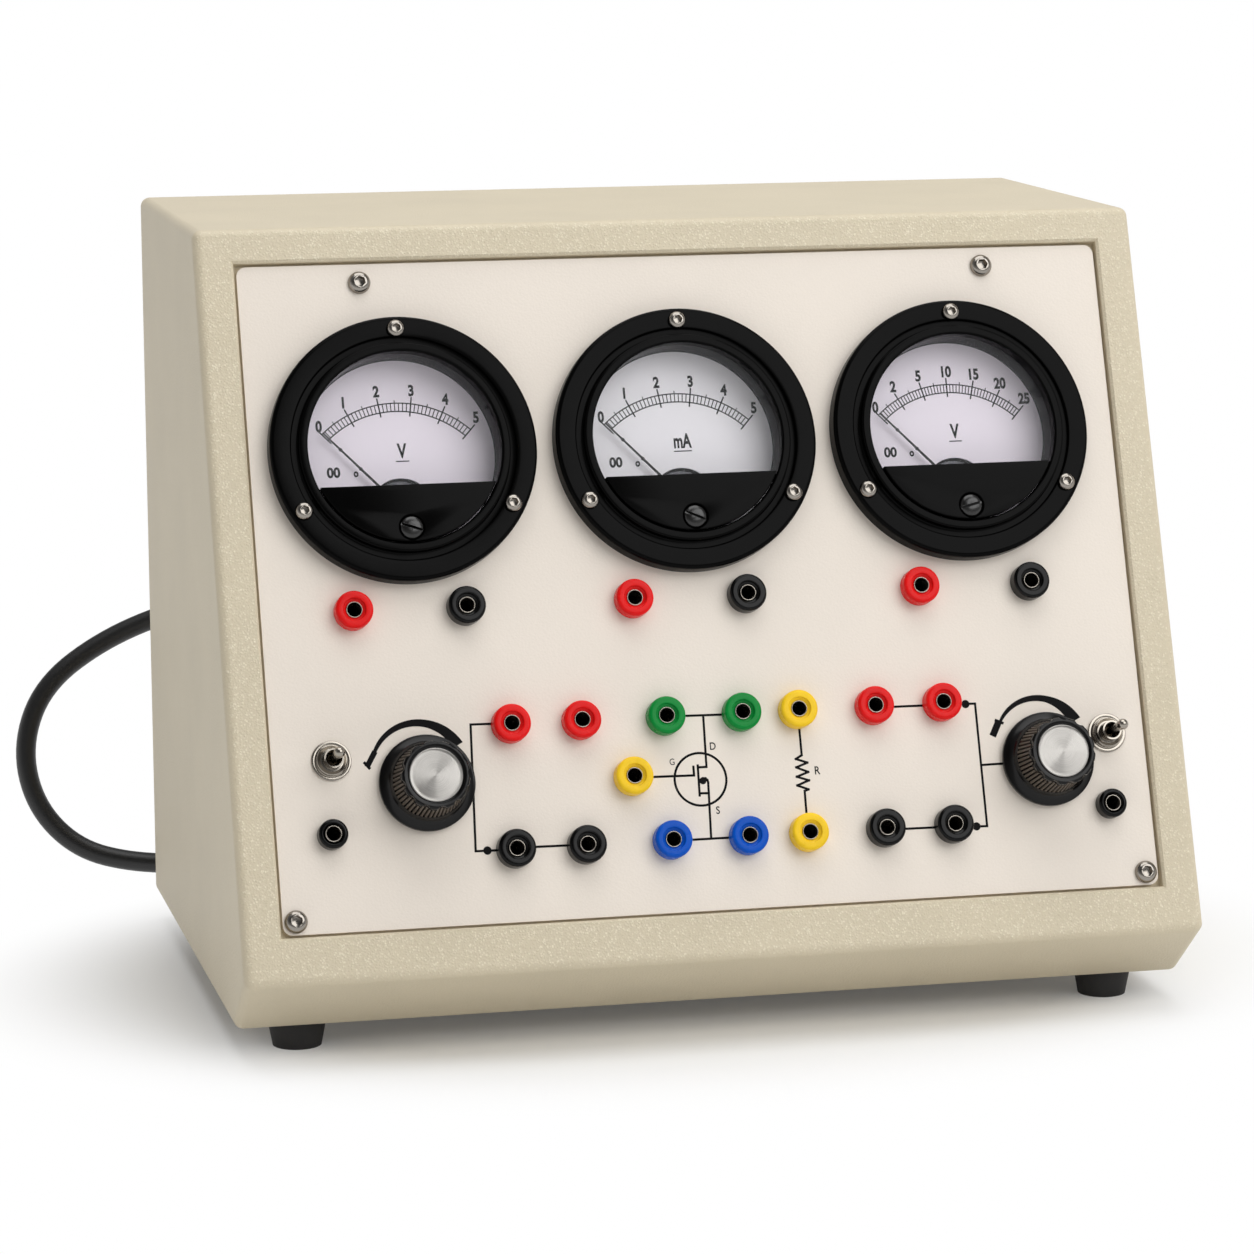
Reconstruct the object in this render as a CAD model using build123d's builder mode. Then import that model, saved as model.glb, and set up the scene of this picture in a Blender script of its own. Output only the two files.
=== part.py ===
from build123d import *

import math
import os

# A transistor characteristics trainer for a teaching laboratory: a sheet-metal
# console with a sloping panel, three moving-coil meters, two control knobs, two
# toggle switches and 4 mm sockets, on rubber feet, with a mains lead at the back.
# Millimetres. X runs to the right, Y to the back, Z up, and the origin is on the
# bench under the middle of the case. On the panel, a place is (x, s): x across,
# and s up the slope from the case's front lip.

# Case: its width and height follow from what the panel carries and these borders
case_depth = 209.0
top_setback = 82.0
lip_height = 19.0
lip_undercut = 24.0
case_wall = 2.0
case_edge_radius = 3.0
side_border = 12.0
bottom_border = 14.0
top_border = 10.5

# Front opening's ledge, the panel and its corner screws
opening_chamfer = 0.8
ledge_width = 7.0
panel_recess = 1.8
panel_gap = 0.9
panel_thickness = 2.0
panel_corner_radius = 3.0
panel_screw_tab_radius = 7.0
top_screw_inset = 6.8
top_screw_side_inset = 38.5
bottom_screw_inset = 4.9

# Panel layout: the meters set its width and most of its height
meter_spacing = 5.9
meter_row_shift = -2.1
panel_side_margin = 8.5
panel_top_margin = 19.0
lower_row_rise = 22.9
upper_row_rise = 61.0
top_row_rise = 97.8
meter_rise_gap = 7.8

# Rear opening and cover
rear_border = 12.0
rear_recess = 3.0
rear_ledge_width = 12.0
rear_cover_gap = 0.8
rear_cover_thickness = 2.0
rear_screw_inset = 6.0

# Feet
foot_height = 9.0
foot_top_radius = 9.2
foot_floor_radius = 7.5
foot_recess_radius = 4.8
foot_recess_depth = 4.6
foot_side_inset = 21.0
foot_front_inset = 36.5
foot_rear_inset = 16.5

# Screws and fits
m4_radius = 2.0
m4_head_radius = 3.5
m4_head_height = 2.1
m3_radius = 1.5
m3_head_radius = 2.75
m3_head_height = 1.7
m3_nut_flats = 5.5
m3_nut_thickness = 2.4
screw_length = 8.0
thread_gap = 0.05
screw_clearance = 0.2
fit_gap = 0.05
running_gap = 0.06

# Meters
flange_radius = 41.2
flange_height = 6.0
flange_edge = 0.9
screw_ledge_width = 6.6
groove_width = 2.0
groove_outer_radius = flange_radius - screw_ledge_width
groove_inner_radius = groove_outer_radius - groove_width
groove_depth = 1.2
bezel_top = 7.6
bezel_width = 2.8
bezel_bore_radius = groove_inner_radius - bezel_width
window_front = 4.0
window_thickness = 1.6
can_radius = groove_inner_radius - screw_clearance
window_radius = can_radius - screw_clearance
can_wall = 2.2
can_back = 34.0
can_floor = 2.0
dial_depth = 5.6
dial_thickness = 0.8
dial_ledge = 1.4
dial_side_gap = 0.2
meter_screw_inset = 4.1
meter_screw_radius = flange_radius - meter_screw_inset
meter_hole_gap = 0.6
pivot_drop = 17.3
dial_cutout_radius = 10.3
cover_edge_drop = 11.9
cover_top = 8.2
cover_side_gap = 0.3
cover_radius = bezel_bore_radius - cover_side_gap
pointer_reach = 4.2
pointer_length = bezel_bore_radius + pointer_reach
pointer_root_width = 0.9
pointer_tip_width = 0.4
pointer_thickness = 0.4
pointer_lift = 2.2
pointer_zero_angle = 43.0
tail_length = 8.2
tail_weight_radius = 1.65
tail_weight_height = 1.8
hub_radius = 2.4
hub_thickness = 1.0
staff_radius = 0.6
staff_depth = 13.0
movement_radius = 9.6
movement_top = 7.2
zero_head_radius = 3.6
zero_seat_rim = 0.4
zero_drop = cover_radius - zero_head_radius - cover_side_gap - zero_seat_rim
zero_head_height = 1.8
zero_seat_depth = 1.0
zero_shank_radius = 1.5
zero_slot_width = 0.8
zero_slot_depth = 0.7
zero_slot_angles = {"left": -20.0, "centre": -24.0, "right": 14.0}

# Sockets: along the top row from their meter, in the side groups from their knob,
# and in the middle group from the panel's middle
meter_socket_steps = {"left": (-18.8, 15.8), "centre": (-20.3, 15.4), "right": (-17.4, 18.3)}
left_group_step = 27.0
right_group_step = 32.4
group_pitch = 21.8
left_black_step = 1.5
middle_left_x = -15.6
middle_right_x = 8.3
middle_blue_step = 1.2
gate_x = -27.2
gate_row_rise = 43.0
resistor_x = 26.1
cap_radius = 5.8
cap_height = 5.0
cap_chamfer = 0.9
cap_ring_radius = 4.0
cap_dish = 1.1
small_cap_radius = 4.5
small_cap_height = 4.6
small_cap_ring_radius = 3.3
cap_neck_radius = 4.0
socket_bore_radius = 2.0
sleeve_wall = 0.5
sleeve_top = 4.4
sleeve_depth = 16.0
sleeve_end = 1.5
socket_nut_flats = 8.4
socket_nut_thickness = 2.6

# Knobs and potentiometers, placed from the panel's sides
left_knob_inset = 47.3
right_knob_inset = 33.3
left_knob_rise = 44.3
right_knob_rise = 41.6
knob_gap = 0.8
skirt_radius = 14.7
skirt_rim = 1.9
skirt_top = 5.8
skirt_neck_radius = 11.0
flute_count = 28
flute_depth = 0.7
grip_top = 14.6
grip_top_radius = 9.7
rim_radius = 10.4
rim_height = 3.2
scallop_count = 12
scallop_radius = 1.9
scallop_depth = 0.7
knob_cap_radius = 8.15
knob_cap_thickness = 1.2
knob_cap_seat = 0.9
knob_cap_edge = 0.3
pot_shaft_radius = 3.0
pot_shaft_rear = 8.0
pot_radius = 12.0
pot_depth = 10.0
pot_bushing_radius = 3.5
pot_bushing_height = 4.8
pot_nut_flats = 10.0
pot_nut_thickness = 2.2
pot_lug_size = (1.6, 7.0, 0.6)
pot_lug_pitch = 5.0

# Toggle switches and the small sockets under them, placed from the panel's sides
left_toggle_inset = 19.0
right_toggle_inset = 12.9
left_toggle_rise = 52.7
right_toggle_rise = 49.1
small_socket_drop = 22.5
small_socket_step = 1.5
toggle_body_size = (8.0, 13.0, 9.5)
bushing_radius = 3.0
bushing_height = 6.0
lever_pivot_height = 1.6
lever_ball_radius = 1.9
lever_neck_radius = 0.95
lever_tip_radius = 1.65
lever_reach = 18.0
lever_mouth_radius = 2.5
dress_nut_radius = 6.1
dress_nut_step_radius = 4.7
dress_nut_rim = 1.0
dress_nut_height = 2.4
dress_nut_edge = 0.5

# Inside: transformer and circuit board
transformer_x = -72.0
transformer_y = 48.0
core_leg = 22.0
core_window_height = 33.0
core_stack = 24.0
winding_gap = 0.5
winding_corner = 5.0
board_x = 58.0
board_y = 42.0
board_length = 96.0
board_width = 70.0
board_thickness = 1.6
board_lift = 8.0
spacer_radius = 3.0
spacer_inset = 5.0
capacitor_radius = 8.0
capacitor_height = 25.0
capacitor_pitch = 20.0
regulator_size = (10.0, 4.5, 15.0)
regulator_pitch = 18.0
bridge_size = (15.0, 15.0, 6.0)

# Mains lead, strain relief and plug
cord_diameter = 7.0
gland_x = -95.0
gland_z = 98.0
gland_flange_radius = 9.0
gland_flange_height = 3.0
gland_neck_radius = 6.0
gland_lock_radius = 7.4
gland_lock_depth = 3.0
gland_tail_radius = 6.6
gland_tip_radius = 4.4
gland_tail_length = 29.0
coil_outer_radius = 48.0
coil_turns = 4
coil_climb_turns = 0.5
coil_turn_gap = 0.9
coil_exit_run = 52.0
plug_length = 40.0
plug_width = 28.0
plug_grip_width = 22.0
plug_corner = 4.0
plug_relief_length = 20.0
plug_blade_size = (15.9, 1.5, 6.35)
plug_blade_pitch = 12.7
plug_blade_lift = 4.9
plug_pin_hold = 5.0
earth_pin_radius = 2.4
earth_pin_length = 18.5
earth_pin_drop = 7.0

# The lead's route from the strain relief to the coil, chosen point by point
lead_route = [
    (-95.0, 133.5, 98.0),
    (-95.0, 156.0, 98.0),
    (-107.0, 178.0, 95.0),
    (-129.0, 192.0, 90.5),
    (-155.5, 195.0, 80.0),
    (-177.5, 191.5, 65.0),
    (-186.0, 186.5, 44.5),
    (-182.5, 181.0, 24.0),
    (-169.0, 175.5, 9.0),
    (-149.5, 171.0, 3.5),
    (-124.0, 164.0, 3.5),
    (-98.0, 148.5, 3.5),
    (-70.0, 133.5, 3.5),
    (-42.0, 126.0, 3.5),
    (-15.0, 126.0, 3.5),
]

# The panel's layout, worked out from the sizes above
meter_pitch = 2 * flange_radius + meter_spacing
opening_width = 2 * (meter_pitch + flange_radius + panel_side_margin)
opening_side = opening_width / 2
lower_row = bottom_border + lower_row_rise
upper_row = bottom_border + upper_row_rise
top_row = bottom_border + top_row_rise
meter_row = top_row + meter_rise_gap + flange_radius
opening_top = meter_row + flange_radius + panel_top_margin
opening_height = opening_top - bottom_border
panel_screw_spots = [
    (side * (opening_side - inset), s)
    for inset, s in (
        (top_screw_side_inset, opening_top - top_screw_inset),
        (bottom_screw_inset, bottom_border + bottom_screw_inset),
    )
    for side in (-1, 1)
]
meter_spots = {
    side: (meter_row_shift + step * meter_pitch, meter_row)
    for side, step in (("left", -1), ("centre", 0), ("right", 1))
}
knob_spots = {
    "left": (left_knob_inset - opening_side, bottom_border + left_knob_rise),
    "right": (opening_side - right_knob_inset, bottom_border + right_knob_rise),
}
toggle_spots = {
    "left": (left_toggle_inset - opening_side, bottom_border + left_toggle_rise),
    "right": (opening_side - right_toggle_inset, bottom_border + right_toggle_rise),
}
small_socket_spots = [(x - small_socket_step, s - small_socket_drop) for x, s in toggle_spots.values()]
left_columns = [knob_spots["left"][0] + left_group_step + step * group_pitch for step in (0, 1)]
right_columns = [knob_spots["right"][0] - right_group_step - step * group_pitch for step in (1, 0)]
top_reds = [(meter_spots[side][0] + steps[0], top_row) for side, steps in meter_socket_steps.items()]
top_blacks = [(meter_spots[side][0] + steps[1], top_row) for side, steps in meter_socket_steps.items()]
socket_spots = {
    "red": top_reds + [(x, upper_row) for x in left_columns + right_columns],
    "black": top_blacks
    + [(x - left_black_step, lower_row) for x in left_columns]
    + [(x, lower_row) for x in right_columns],
    "green": [(middle_left_x, upper_row), (middle_right_x, upper_row)],
    "yellow": [(gate_x, bottom_border + gate_row_rise), (resistor_x, upper_row), (resistor_x, lower_row)],
    "blue": [(middle_left_x - middle_blue_step, lower_row), (middle_right_x - middle_blue_step, lower_row)],
}

# The case's size and the planes that the rest is placed on
slope = bottom_border + opening_height + top_border
case_width = opening_width + 2 * side_border
case_height = lip_height + math.sqrt(slope**2 - top_setback**2)
front_y = -case_depth / 2
rear_y = case_depth / 2
outward = (0, -(case_height - lip_height) / slope, top_setback / slope)
case_front = Plane(origin=(0, front_y, foot_height + lip_height), x_dir=(1, 0, 0), z_dir=outward)
panel_face = case_front.offset(-panel_recess)
panel_middle = bottom_border + opening_height / 2
ledge_depth = panel_recess + panel_thickness
floor_z = foot_height + case_wall
rear_face = Plane(origin=(0, rear_y, foot_height + case_height / 2), x_dir=(-1, 0, 0), z_dir=(0, 1, 0))
rear_opening = (case_width - 2 * rear_border, case_height - 2 * rear_border)
cover_face = rear_face.offset(-rear_recess)
rear_screw_spots = [
    (sign_x * (rear_opening[0] / 2 - rear_screw_inset), row * (rear_opening[1] / 2 - rear_screw_inset))
    for sign_x in (-1, 1)
    for row in (-1, 0, 1)
]
foot_spots = [
    (side * (case_width / 2 - foot_side_inset), y)
    for side in (-1, 1)
    for y in (front_y + foot_front_inset, rear_y - foot_rear_inset)
]
sleeve_radius = socket_bore_radius + sleeve_wall
cord_radius = cord_diameter / 2


def on_panel(x, s, n=0.0, angle=0.0):
    """A plane on the panel's face at (x, s), n above it, looking straight out and turned by an angle."""
    turn = math.radians(angle)
    return Plane(
        origin=panel_face.from_local_coords((x, s, n)),
        x_dir=panel_face.x_dir * math.cos(turn) + panel_face.y_dir * math.sin(turn),
        z_dir=panel_face.z_dir,
    )


def placed(piece, planes):
    """Copies of one finished piece, one on each plane, in one part."""
    with BuildPart() as group:
        with Locations(*planes):
            add(piece.part)
    return group


def turned(outline):
    """A turned piece about Z from its half section: (radius, height) points."""
    with BuildPart() as piece:
        with BuildSketch(Plane.XZ):
            with BuildLine():
                Polyline(*outline, close=True)
            make_face()
        revolve(axis=Axis.Z)
    return piece


def button_screw(radius, head_radius, head_height, length):
    """A button-head screw with a hexagon socket, its head's seat at Z = 0."""
    with BuildPart() as screw:
        with BuildSketch(Plane.XZ):
            with BuildLine():
                Polyline((0, head_height), (0, -length), (radius, -length), (radius, 0), (head_radius, 0))
                ThreePointArc((head_radius, 0), (head_radius * 0.8, head_height * 0.62), (head_radius * 0.45, head_height))
                Line((head_radius * 0.45, head_height), (0, head_height))
            make_face()
        revolve(axis=Axis.Z)
        with BuildSketch(Plane.XY.offset(head_height)):
            RegularPolygon(head_radius * 0.36, 6)
        extrude(amount=-head_height * 0.6, mode=Mode.SUBTRACT)
    return screw


def hex_nut(flats, thickness, bore_radius):
    """A plain hexagon nut lying on Z = 0."""
    with BuildPart() as nut:
        with BuildSketch():
            RegularPolygon(flats / 2, 6, major_radius=False)
            Circle(bore_radius, mode=Mode.SUBTRACT)
        extrude(amount=thickness)
    return nut


nodes = {}

# Case: the folded shell, with a rebated frame round the panel and another round the rear cover
side_outline = [
    (front_y + lip_undercut, foot_height),
    (front_y, foot_height + lip_height),
    (front_y + top_setback, foot_height + case_height),
    (rear_y, foot_height + case_height),
    (rear_y, foot_height),
]
rear_ledge_depth = rear_recess + rear_cover_thickness
with BuildPart() as case:
    with BuildSketch(Plane.YZ):
        with BuildLine():
            Polyline(*side_outline, close=True)
        make_face()
    extrude(amount=case_width / 2, both=True)
    fillet(case.edges(), radius=case_edge_radius)
    with BuildSketch(Plane.YZ):
        with BuildLine():
            Polyline(*side_outline, close=True)
        make_face()
        offset(amount=-case_wall, kind=Kind.INTERSECTION, mode=Mode.REPLACE)
    extrude(amount=case_width / 2 - case_wall, both=True, mode=Mode.SUBTRACT)
    # the panel's frame: jamb and ledge behind the opening, with a tab for each corner screw
    with BuildSketch(case_front.offset(-ledge_depth - case_wall)):
        with Locations((0, panel_middle)):
            Rectangle(opening_width + 2 * case_wall, opening_height + 2 * case_wall)
    extrude(amount=ledge_depth + case_wall / 2)
    with BuildSketch(case_front.offset(-ledge_depth)):
        with Locations((0, panel_middle)):
            Rectangle(opening_width, opening_height)
    extrude(amount=ledge_depth + case_wall, mode=Mode.SUBTRACT)
    with BuildSketch(case_front.offset(-ledge_depth - 2 * case_wall)):
        with Locations((0, panel_middle)):
            Rectangle(opening_width - 2 * ledge_width, opening_height - 2 * ledge_width)
        with Locations(*panel_screw_spots):
            Circle(panel_screw_tab_radius, mode=Mode.SUBTRACT)
    extrude(amount=3 * case_wall, mode=Mode.SUBTRACT)
    with BuildSketch(case_front.offset(-ledge_depth - 2 * case_wall)):
        with Locations(*panel_screw_spots):
            Circle(m4_radius + thread_gap)
    extrude(amount=3 * case_wall, mode=Mode.SUBTRACT)
    # the rear frame
    with BuildSketch(rear_face.offset(-rear_ledge_depth - case_wall)):
        Rectangle(rear_opening[0] + 2 * case_wall, rear_opening[1] + 2 * case_wall)
    extrude(amount=rear_ledge_depth + case_wall / 2)
    with BuildSketch(rear_face.offset(-rear_ledge_depth)):
        Rectangle(*rear_opening)
    extrude(amount=rear_ledge_depth + case_wall, mode=Mode.SUBTRACT)
    with BuildSketch(rear_face.offset(-rear_ledge_depth - 2 * case_wall)):
        Rectangle(rear_opening[0] - 2 * rear_ledge_width, rear_opening[1] - 2 * rear_ledge_width)
        with Locations(*rear_screw_spots):
            Circle(m3_radius + thread_gap)
    extrude(amount=3 * case_wall, mode=Mode.SUBTRACT)
    with BuildSketch(Plane.XY.offset(foot_height - case_wall)):
        with Locations(*foot_spots):
            Circle(m4_radius + thread_gap)
    extrude(amount=3 * case_wall, mode=Mode.SUBTRACT)
    # the painted lip round the opening is eased
    front_skin = case.faces().filter_by(case_front).sort_by(Axis(case_front.origin, case_front.z_dir))[-1]
    chamfer(front_skin.inner_wires()[0].edges(), length=opening_chamfer)
nodes["case"] = case

# Rear cover, its screws and the hole for the strain relief
with BuildPart() as rear_cover:
    with BuildSketch(cover_face.offset(-rear_cover_thickness)):
        RectangleRounded(
            rear_opening[0] - 2 * rear_cover_gap, rear_opening[1] - 2 * rear_cover_gap, panel_corner_radius
        )
        with Locations(*rear_screw_spots):
            Circle(m3_radius + screw_clearance, mode=Mode.SUBTRACT)
        with Locations((-gland_x, gland_z - cover_face.origin.Z)):
            Circle(gland_neck_radius + fit_gap, mode=Mode.SUBTRACT)
    extrude(amount=rear_cover_thickness)
nodes["rear_cover"] = rear_cover

m3_screw = button_screw(m3_radius, m3_head_radius, m3_head_height, screw_length)
m4_screw = button_screw(m4_radius, m4_head_radius, m4_head_height, screw_length)
nodes["rear_cover_screws"] = placed(
    m3_screw,
    [Plane(origin=cover_face.from_local_coords((x, y, 0)), x_dir=(-1, 0, 0), z_dir=(0, 1, 0)) for x, y in rear_screw_spots],
)

# Feet, screwed up into the case's floor
foot = turned(
    [
        (m4_radius + screw_clearance, foot_height),
        (foot_top_radius, foot_height),
        (foot_floor_radius, 0),
        (foot_recess_radius, 0),
        (foot_recess_radius, foot_recess_depth),
        (m4_radius + screw_clearance, foot_recess_depth),
    ]
)
nodes["feet"] = placed(foot, [Plane(origin=(x, y, 0)) for x, y in foot_spots])
nodes["foot_screws"] = placed(
    m4_screw, [Plane(origin=(x, y, foot_recess_depth), x_dir=(1, 0, 0), z_dir=(0, 0, -1)) for x, y in foot_spots]
)

# Panel: one plate, drilled for everything that it carries
meter_hole_radius = can_radius + meter_hole_gap
large_sockets = [spot for spots in socket_spots.values() for spot in spots]
meter_screw_spots = [
    (x + meter_screw_radius * math.cos(math.radians(angle)), s + meter_screw_radius * math.sin(math.radians(angle)))
    for x, s in meter_spots.values()
    for angle in (90, 210, 330)
]
with BuildPart() as front_panel:
    with BuildSketch(panel_face.offset(-panel_thickness)):
        with Locations((0, panel_middle)):
            RectangleRounded(opening_width - 2 * panel_gap, opening_height - 2 * panel_gap, panel_corner_radius)
        with Locations(*panel_screw_spots):
            Circle(m4_radius + screw_clearance, mode=Mode.SUBTRACT)
        with Locations(*meter_spots.values()):
            Circle(meter_hole_radius, mode=Mode.SUBTRACT)
        with Locations(*meter_screw_spots):
            Circle(m3_radius + screw_clearance, mode=Mode.SUBTRACT)
        with Locations(*large_sockets, *small_socket_spots):
            Circle(cap_neck_radius + fit_gap, mode=Mode.SUBTRACT)
        with Locations(*knob_spots.values()):
            Circle(pot_bushing_radius + fit_gap, mode=Mode.SUBTRACT)
        with Locations(*toggle_spots.values()):
            Circle(bushing_radius + fit_gap, mode=Mode.SUBTRACT)
    extrude(amount=panel_thickness)
nodes["front_panel"] = front_panel
nodes["panel_screws"] = placed(m4_screw, [on_panel(x, s) for x, s in panel_screw_spots])
meter_screw = button_screw(m3_radius, m3_head_radius, m3_head_height, flange_height + screw_length)
nodes["meter_screws"] = placed(meter_screw, [on_panel(x, s, flange_height) for x, s in meter_screw_spots])
meter_nut = hex_nut(m3_nut_flats, m3_nut_thickness, m3_radius + thread_gap)
nodes["meter_nuts"] = placed(
    meter_nut, [on_panel(x, s, -panel_thickness - m3_nut_thickness) for x, s in meter_screw_spots]
)

# Meter mouldings: the flange with its bezel, and the can behind it
window_back = window_front - window_thickness
with BuildPart() as meter_flange:
    with BuildSketch(Plane.XZ):
        with BuildLine():
            Polyline(
                (bezel_bore_radius, window_front),
                (bezel_bore_radius, bezel_top - flange_edge / 2),
                (bezel_bore_radius + flange_edge / 2, bezel_top),
                (groove_inner_radius - flange_edge, bezel_top),
                (groove_inner_radius, bezel_top - flange_edge),
                (groove_inner_radius, flange_height - groove_depth),
                (groove_outer_radius, flange_height - groove_depth),
                (groove_outer_radius, flange_height),
                (flange_radius - flange_edge, flange_height),
                (flange_radius, flange_height - flange_edge),
                (flange_radius, 0),
                (can_radius + screw_clearance, 0),
                (can_radius + screw_clearance, window_front),
                close=True,
            )
        make_face()
    revolve(axis=Axis.Z)
    with BuildSketch():
        with PolarLocations(meter_screw_radius, 3, start_angle=90):
            Circle(m3_radius + screw_clearance)
    extrude(amount=flange_height, mode=Mode.SUBTRACT)

dial_back = -dial_depth - dial_thickness
can_bore = can_radius - can_wall
meter_can = turned(
    [
        (can_bore, window_back),
        (can_radius, window_back),
        (can_radius, -can_back),
        (0, -can_back),
        (0, -can_back + can_floor),
        (can_bore - dial_ledge, -can_back + can_floor),
        (can_bore - dial_ledge, dial_back),
        (can_bore, dial_back),
    ]
)

# The window is a clear disc with a hole for the zero-adjust screw
with BuildPart() as meter_window:
    with BuildSketch(Plane.XY.offset(window_back)):
        Circle(window_radius)
        with Locations((0, -zero_drop)):
            Circle(zero_shank_radius + screw_clearance, mode=Mode.SUBTRACT)
    extrude(amount=window_thickness)

# The dial plate is cut away round the movement
with BuildPart() as meter_dial:
    with BuildSketch(Plane.XY.offset(dial_back)):
        Circle(can_bore - dial_side_gap)
        with Locations((0, -pivot_drop)):
            Circle(dial_cutout_radius, mode=Mode.SUBTRACT)
    extrude(amount=dial_thickness)

# The black cover hides the movement below a straight edge
with BuildPart() as meter_cover:
    with BuildSketch(Plane.XY.offset(window_front)):
        Circle(cover_radius)
        with Locations((0, -cover_edge_drop)):
            Rectangle(2 * cover_radius, 2 * cover_radius, align=(Align.CENTER, Align.MIN), mode=Mode.SUBTRACT)
    extrude(amount=cover_top - window_front)
    chamfer(meter_cover.edges().group_by(Axis.Z)[-1], length=flange_edge / 2)
    with BuildSketch(Plane.XY.offset(cover_top)):
        with Locations((0, -zero_drop)):
            Circle(zero_head_radius + cover_side_gap)
    extrude(amount=-zero_seat_depth, mode=Mode.SUBTRACT)
    with BuildSketch(Plane.XY.offset(cover_top)):
        with Locations((0, -zero_drop)):
            Circle(zero_shank_radius + running_gap)
    extrude(amount=window_front - cover_top, mode=Mode.SUBTRACT)

# The movement's magnet and its bearing, standing on the can's floor
movement_floor = -can_back + can_floor
with BuildPart() as meter_movement:
    with BuildSketch(Plane.XY.offset(movement_floor)):
        with Locations((0, -pivot_drop)):
            Circle(movement_radius)
    extrude(amount=-movement_top - movement_floor)
    with BuildSketch(Plane.XY.offset(-movement_top)):
        with Locations((0, -pivot_drop)):
            Circle(staff_radius + running_gap)
    extrude(amount=-staff_depth, mode=Mode.SUBTRACT)

# The pointer: staff, hub, tapered blade with two balance beads, tail and its weight,
# drawn about its own pivot with the blade along +Y
pointer_height = -dial_depth + pointer_lift
with BuildPart() as pointer:
    with BuildSketch(Plane.XY.offset(pointer_height - pointer_thickness / 2)):
        with BuildLine():
            Polyline(
                (-pointer_root_width / 2, 0),
                (-pointer_tip_width / 2, pointer_length),
                (pointer_tip_width / 2, pointer_length),
                (pointer_root_width / 2, 0),
                (pointer_root_width / 2, -tail_length),
                (-pointer_root_width / 2, -tail_length),
                close=True,
            )
        make_face()
        for bead in (0.53, 0.78):
            with Locations((0, bead * pointer_length)):
                Circle(pointer_root_width * 0.6)
    extrude(amount=pointer_thickness)
    with BuildSketch(Plane.XY.offset(pointer_height - hub_thickness / 2)):
        Circle(hub_radius)
    extrude(amount=hub_thickness)
    with BuildSketch(Plane.XY.offset(pointer_height - tail_weight_height / 2)):
        with Locations((0, -tail_length)):
            Circle(tail_weight_radius)
    extrude(amount=tail_weight_height)
    with BuildSketch(Plane.XY.offset(pointer_height)):
        Circle(staff_radius)
    extrude(amount=-movement_top - staff_depth - pointer_height + screw_clearance)

# The zero-adjust screw sits in the cover's seat
with BuildPart() as zero_screw:
    with BuildSketch(Plane.XZ):
        with BuildLine():
            seat = cover_top - zero_seat_depth
            Polyline(
                (0, seat + zero_head_height),
                (zero_head_radius * 0.6, seat + zero_head_height),
                (zero_head_radius, seat + zero_head_height * 0.5),
                (zero_head_radius, seat + screw_clearance / 2),
                (zero_shank_radius, seat + screw_clearance / 2),
                (zero_shank_radius, window_back - screw_clearance),
                (0, window_back - screw_clearance),
                close=True,
            )
        make_face()
    revolve(axis=Axis.Z)
    with BuildSketch(Plane.XY.offset(seat + zero_head_height)):
        Rectangle(2.2 * zero_head_radius, zero_slot_width)
    extrude(amount=-zero_slot_depth, mode=Mode.SUBTRACT)


for side, (x, s) in meter_spots.items():
    nodes[f"{side}_meter_flange"] = placed(meter_flange, [on_panel(x, s)])
    nodes[f"{side}_meter_window"] = placed(meter_window, [on_panel(x, s)])
    nodes[f"{side}_meter_dial"] = placed(meter_dial, [on_panel(x, s)])
    nodes[f"{side}_meter_cover"] = placed(meter_cover, [on_panel(x, s)])
    nodes[f"{side}_meter_pointer"] = placed(pointer, [on_panel(x, s - pivot_drop, angle=pointer_zero_angle)])
    nodes[f"{side}_zero_screw"] = placed(zero_screw, [on_panel(x, s - zero_drop, angle=zero_slot_angles[side])])
nodes["meter_cans"] = placed(meter_can, [on_panel(*spot) for spot in meter_spots.values()])
nodes["meter_movements"] = placed(meter_movement, [on_panel(*spot) for spot in meter_spots.values()])

# Sockets: moulded caps with a dished face, metal sleeves and insulating nuts
cap_bore = sleeve_radius + fit_gap


def socket_cap(radius, height, ring_radius):
    """A socket's cap with its neck, which stops at the panel's back."""
    return turned(
        [
            (cap_bore, height - cap_dish),
            (ring_radius, height),
            (radius - cap_chamfer, height),
            (radius, height - cap_chamfer),
            (radius, 0),
            (cap_neck_radius, 0),
            (cap_neck_radius, -panel_thickness),
            (cap_bore, -panel_thickness),
        ]
    )


large_cap = socket_cap(cap_radius, cap_height, cap_ring_radius)
small_cap = socket_cap(small_cap_radius, small_cap_height, small_cap_ring_radius)
for colour, spots in socket_spots.items():
    nodes[f"{colour}_socket_caps"] = placed(large_cap, [on_panel(*spot) for spot in spots])
small_caps = placed(small_cap, [on_panel(*spot) for spot in small_socket_spots])
nodes["black_socket_caps"].part += small_caps.part
all_sockets = [on_panel(*spot) for spot in large_sockets + small_socket_spots]
socket_sleeve = turned(
    [
        (socket_bore_radius, sleeve_top),
        (sleeve_radius, sleeve_top),
        (sleeve_radius, -sleeve_depth),
        (0, -sleeve_depth),
        (0, sleeve_end - sleeve_depth),
        (socket_bore_radius, sleeve_end - sleeve_depth),
    ]
)
nodes["socket_sleeves"] = placed(socket_sleeve, all_sockets)
socket_nut = hex_nut(socket_nut_flats, socket_nut_thickness, sleeve_radius + fit_gap)
nodes["socket_nuts"] = placed(
    socket_nut,
    [on_panel(x, s, -panel_thickness - socket_nut_thickness) for x, s in large_sockets + small_socket_spots],
)

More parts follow.
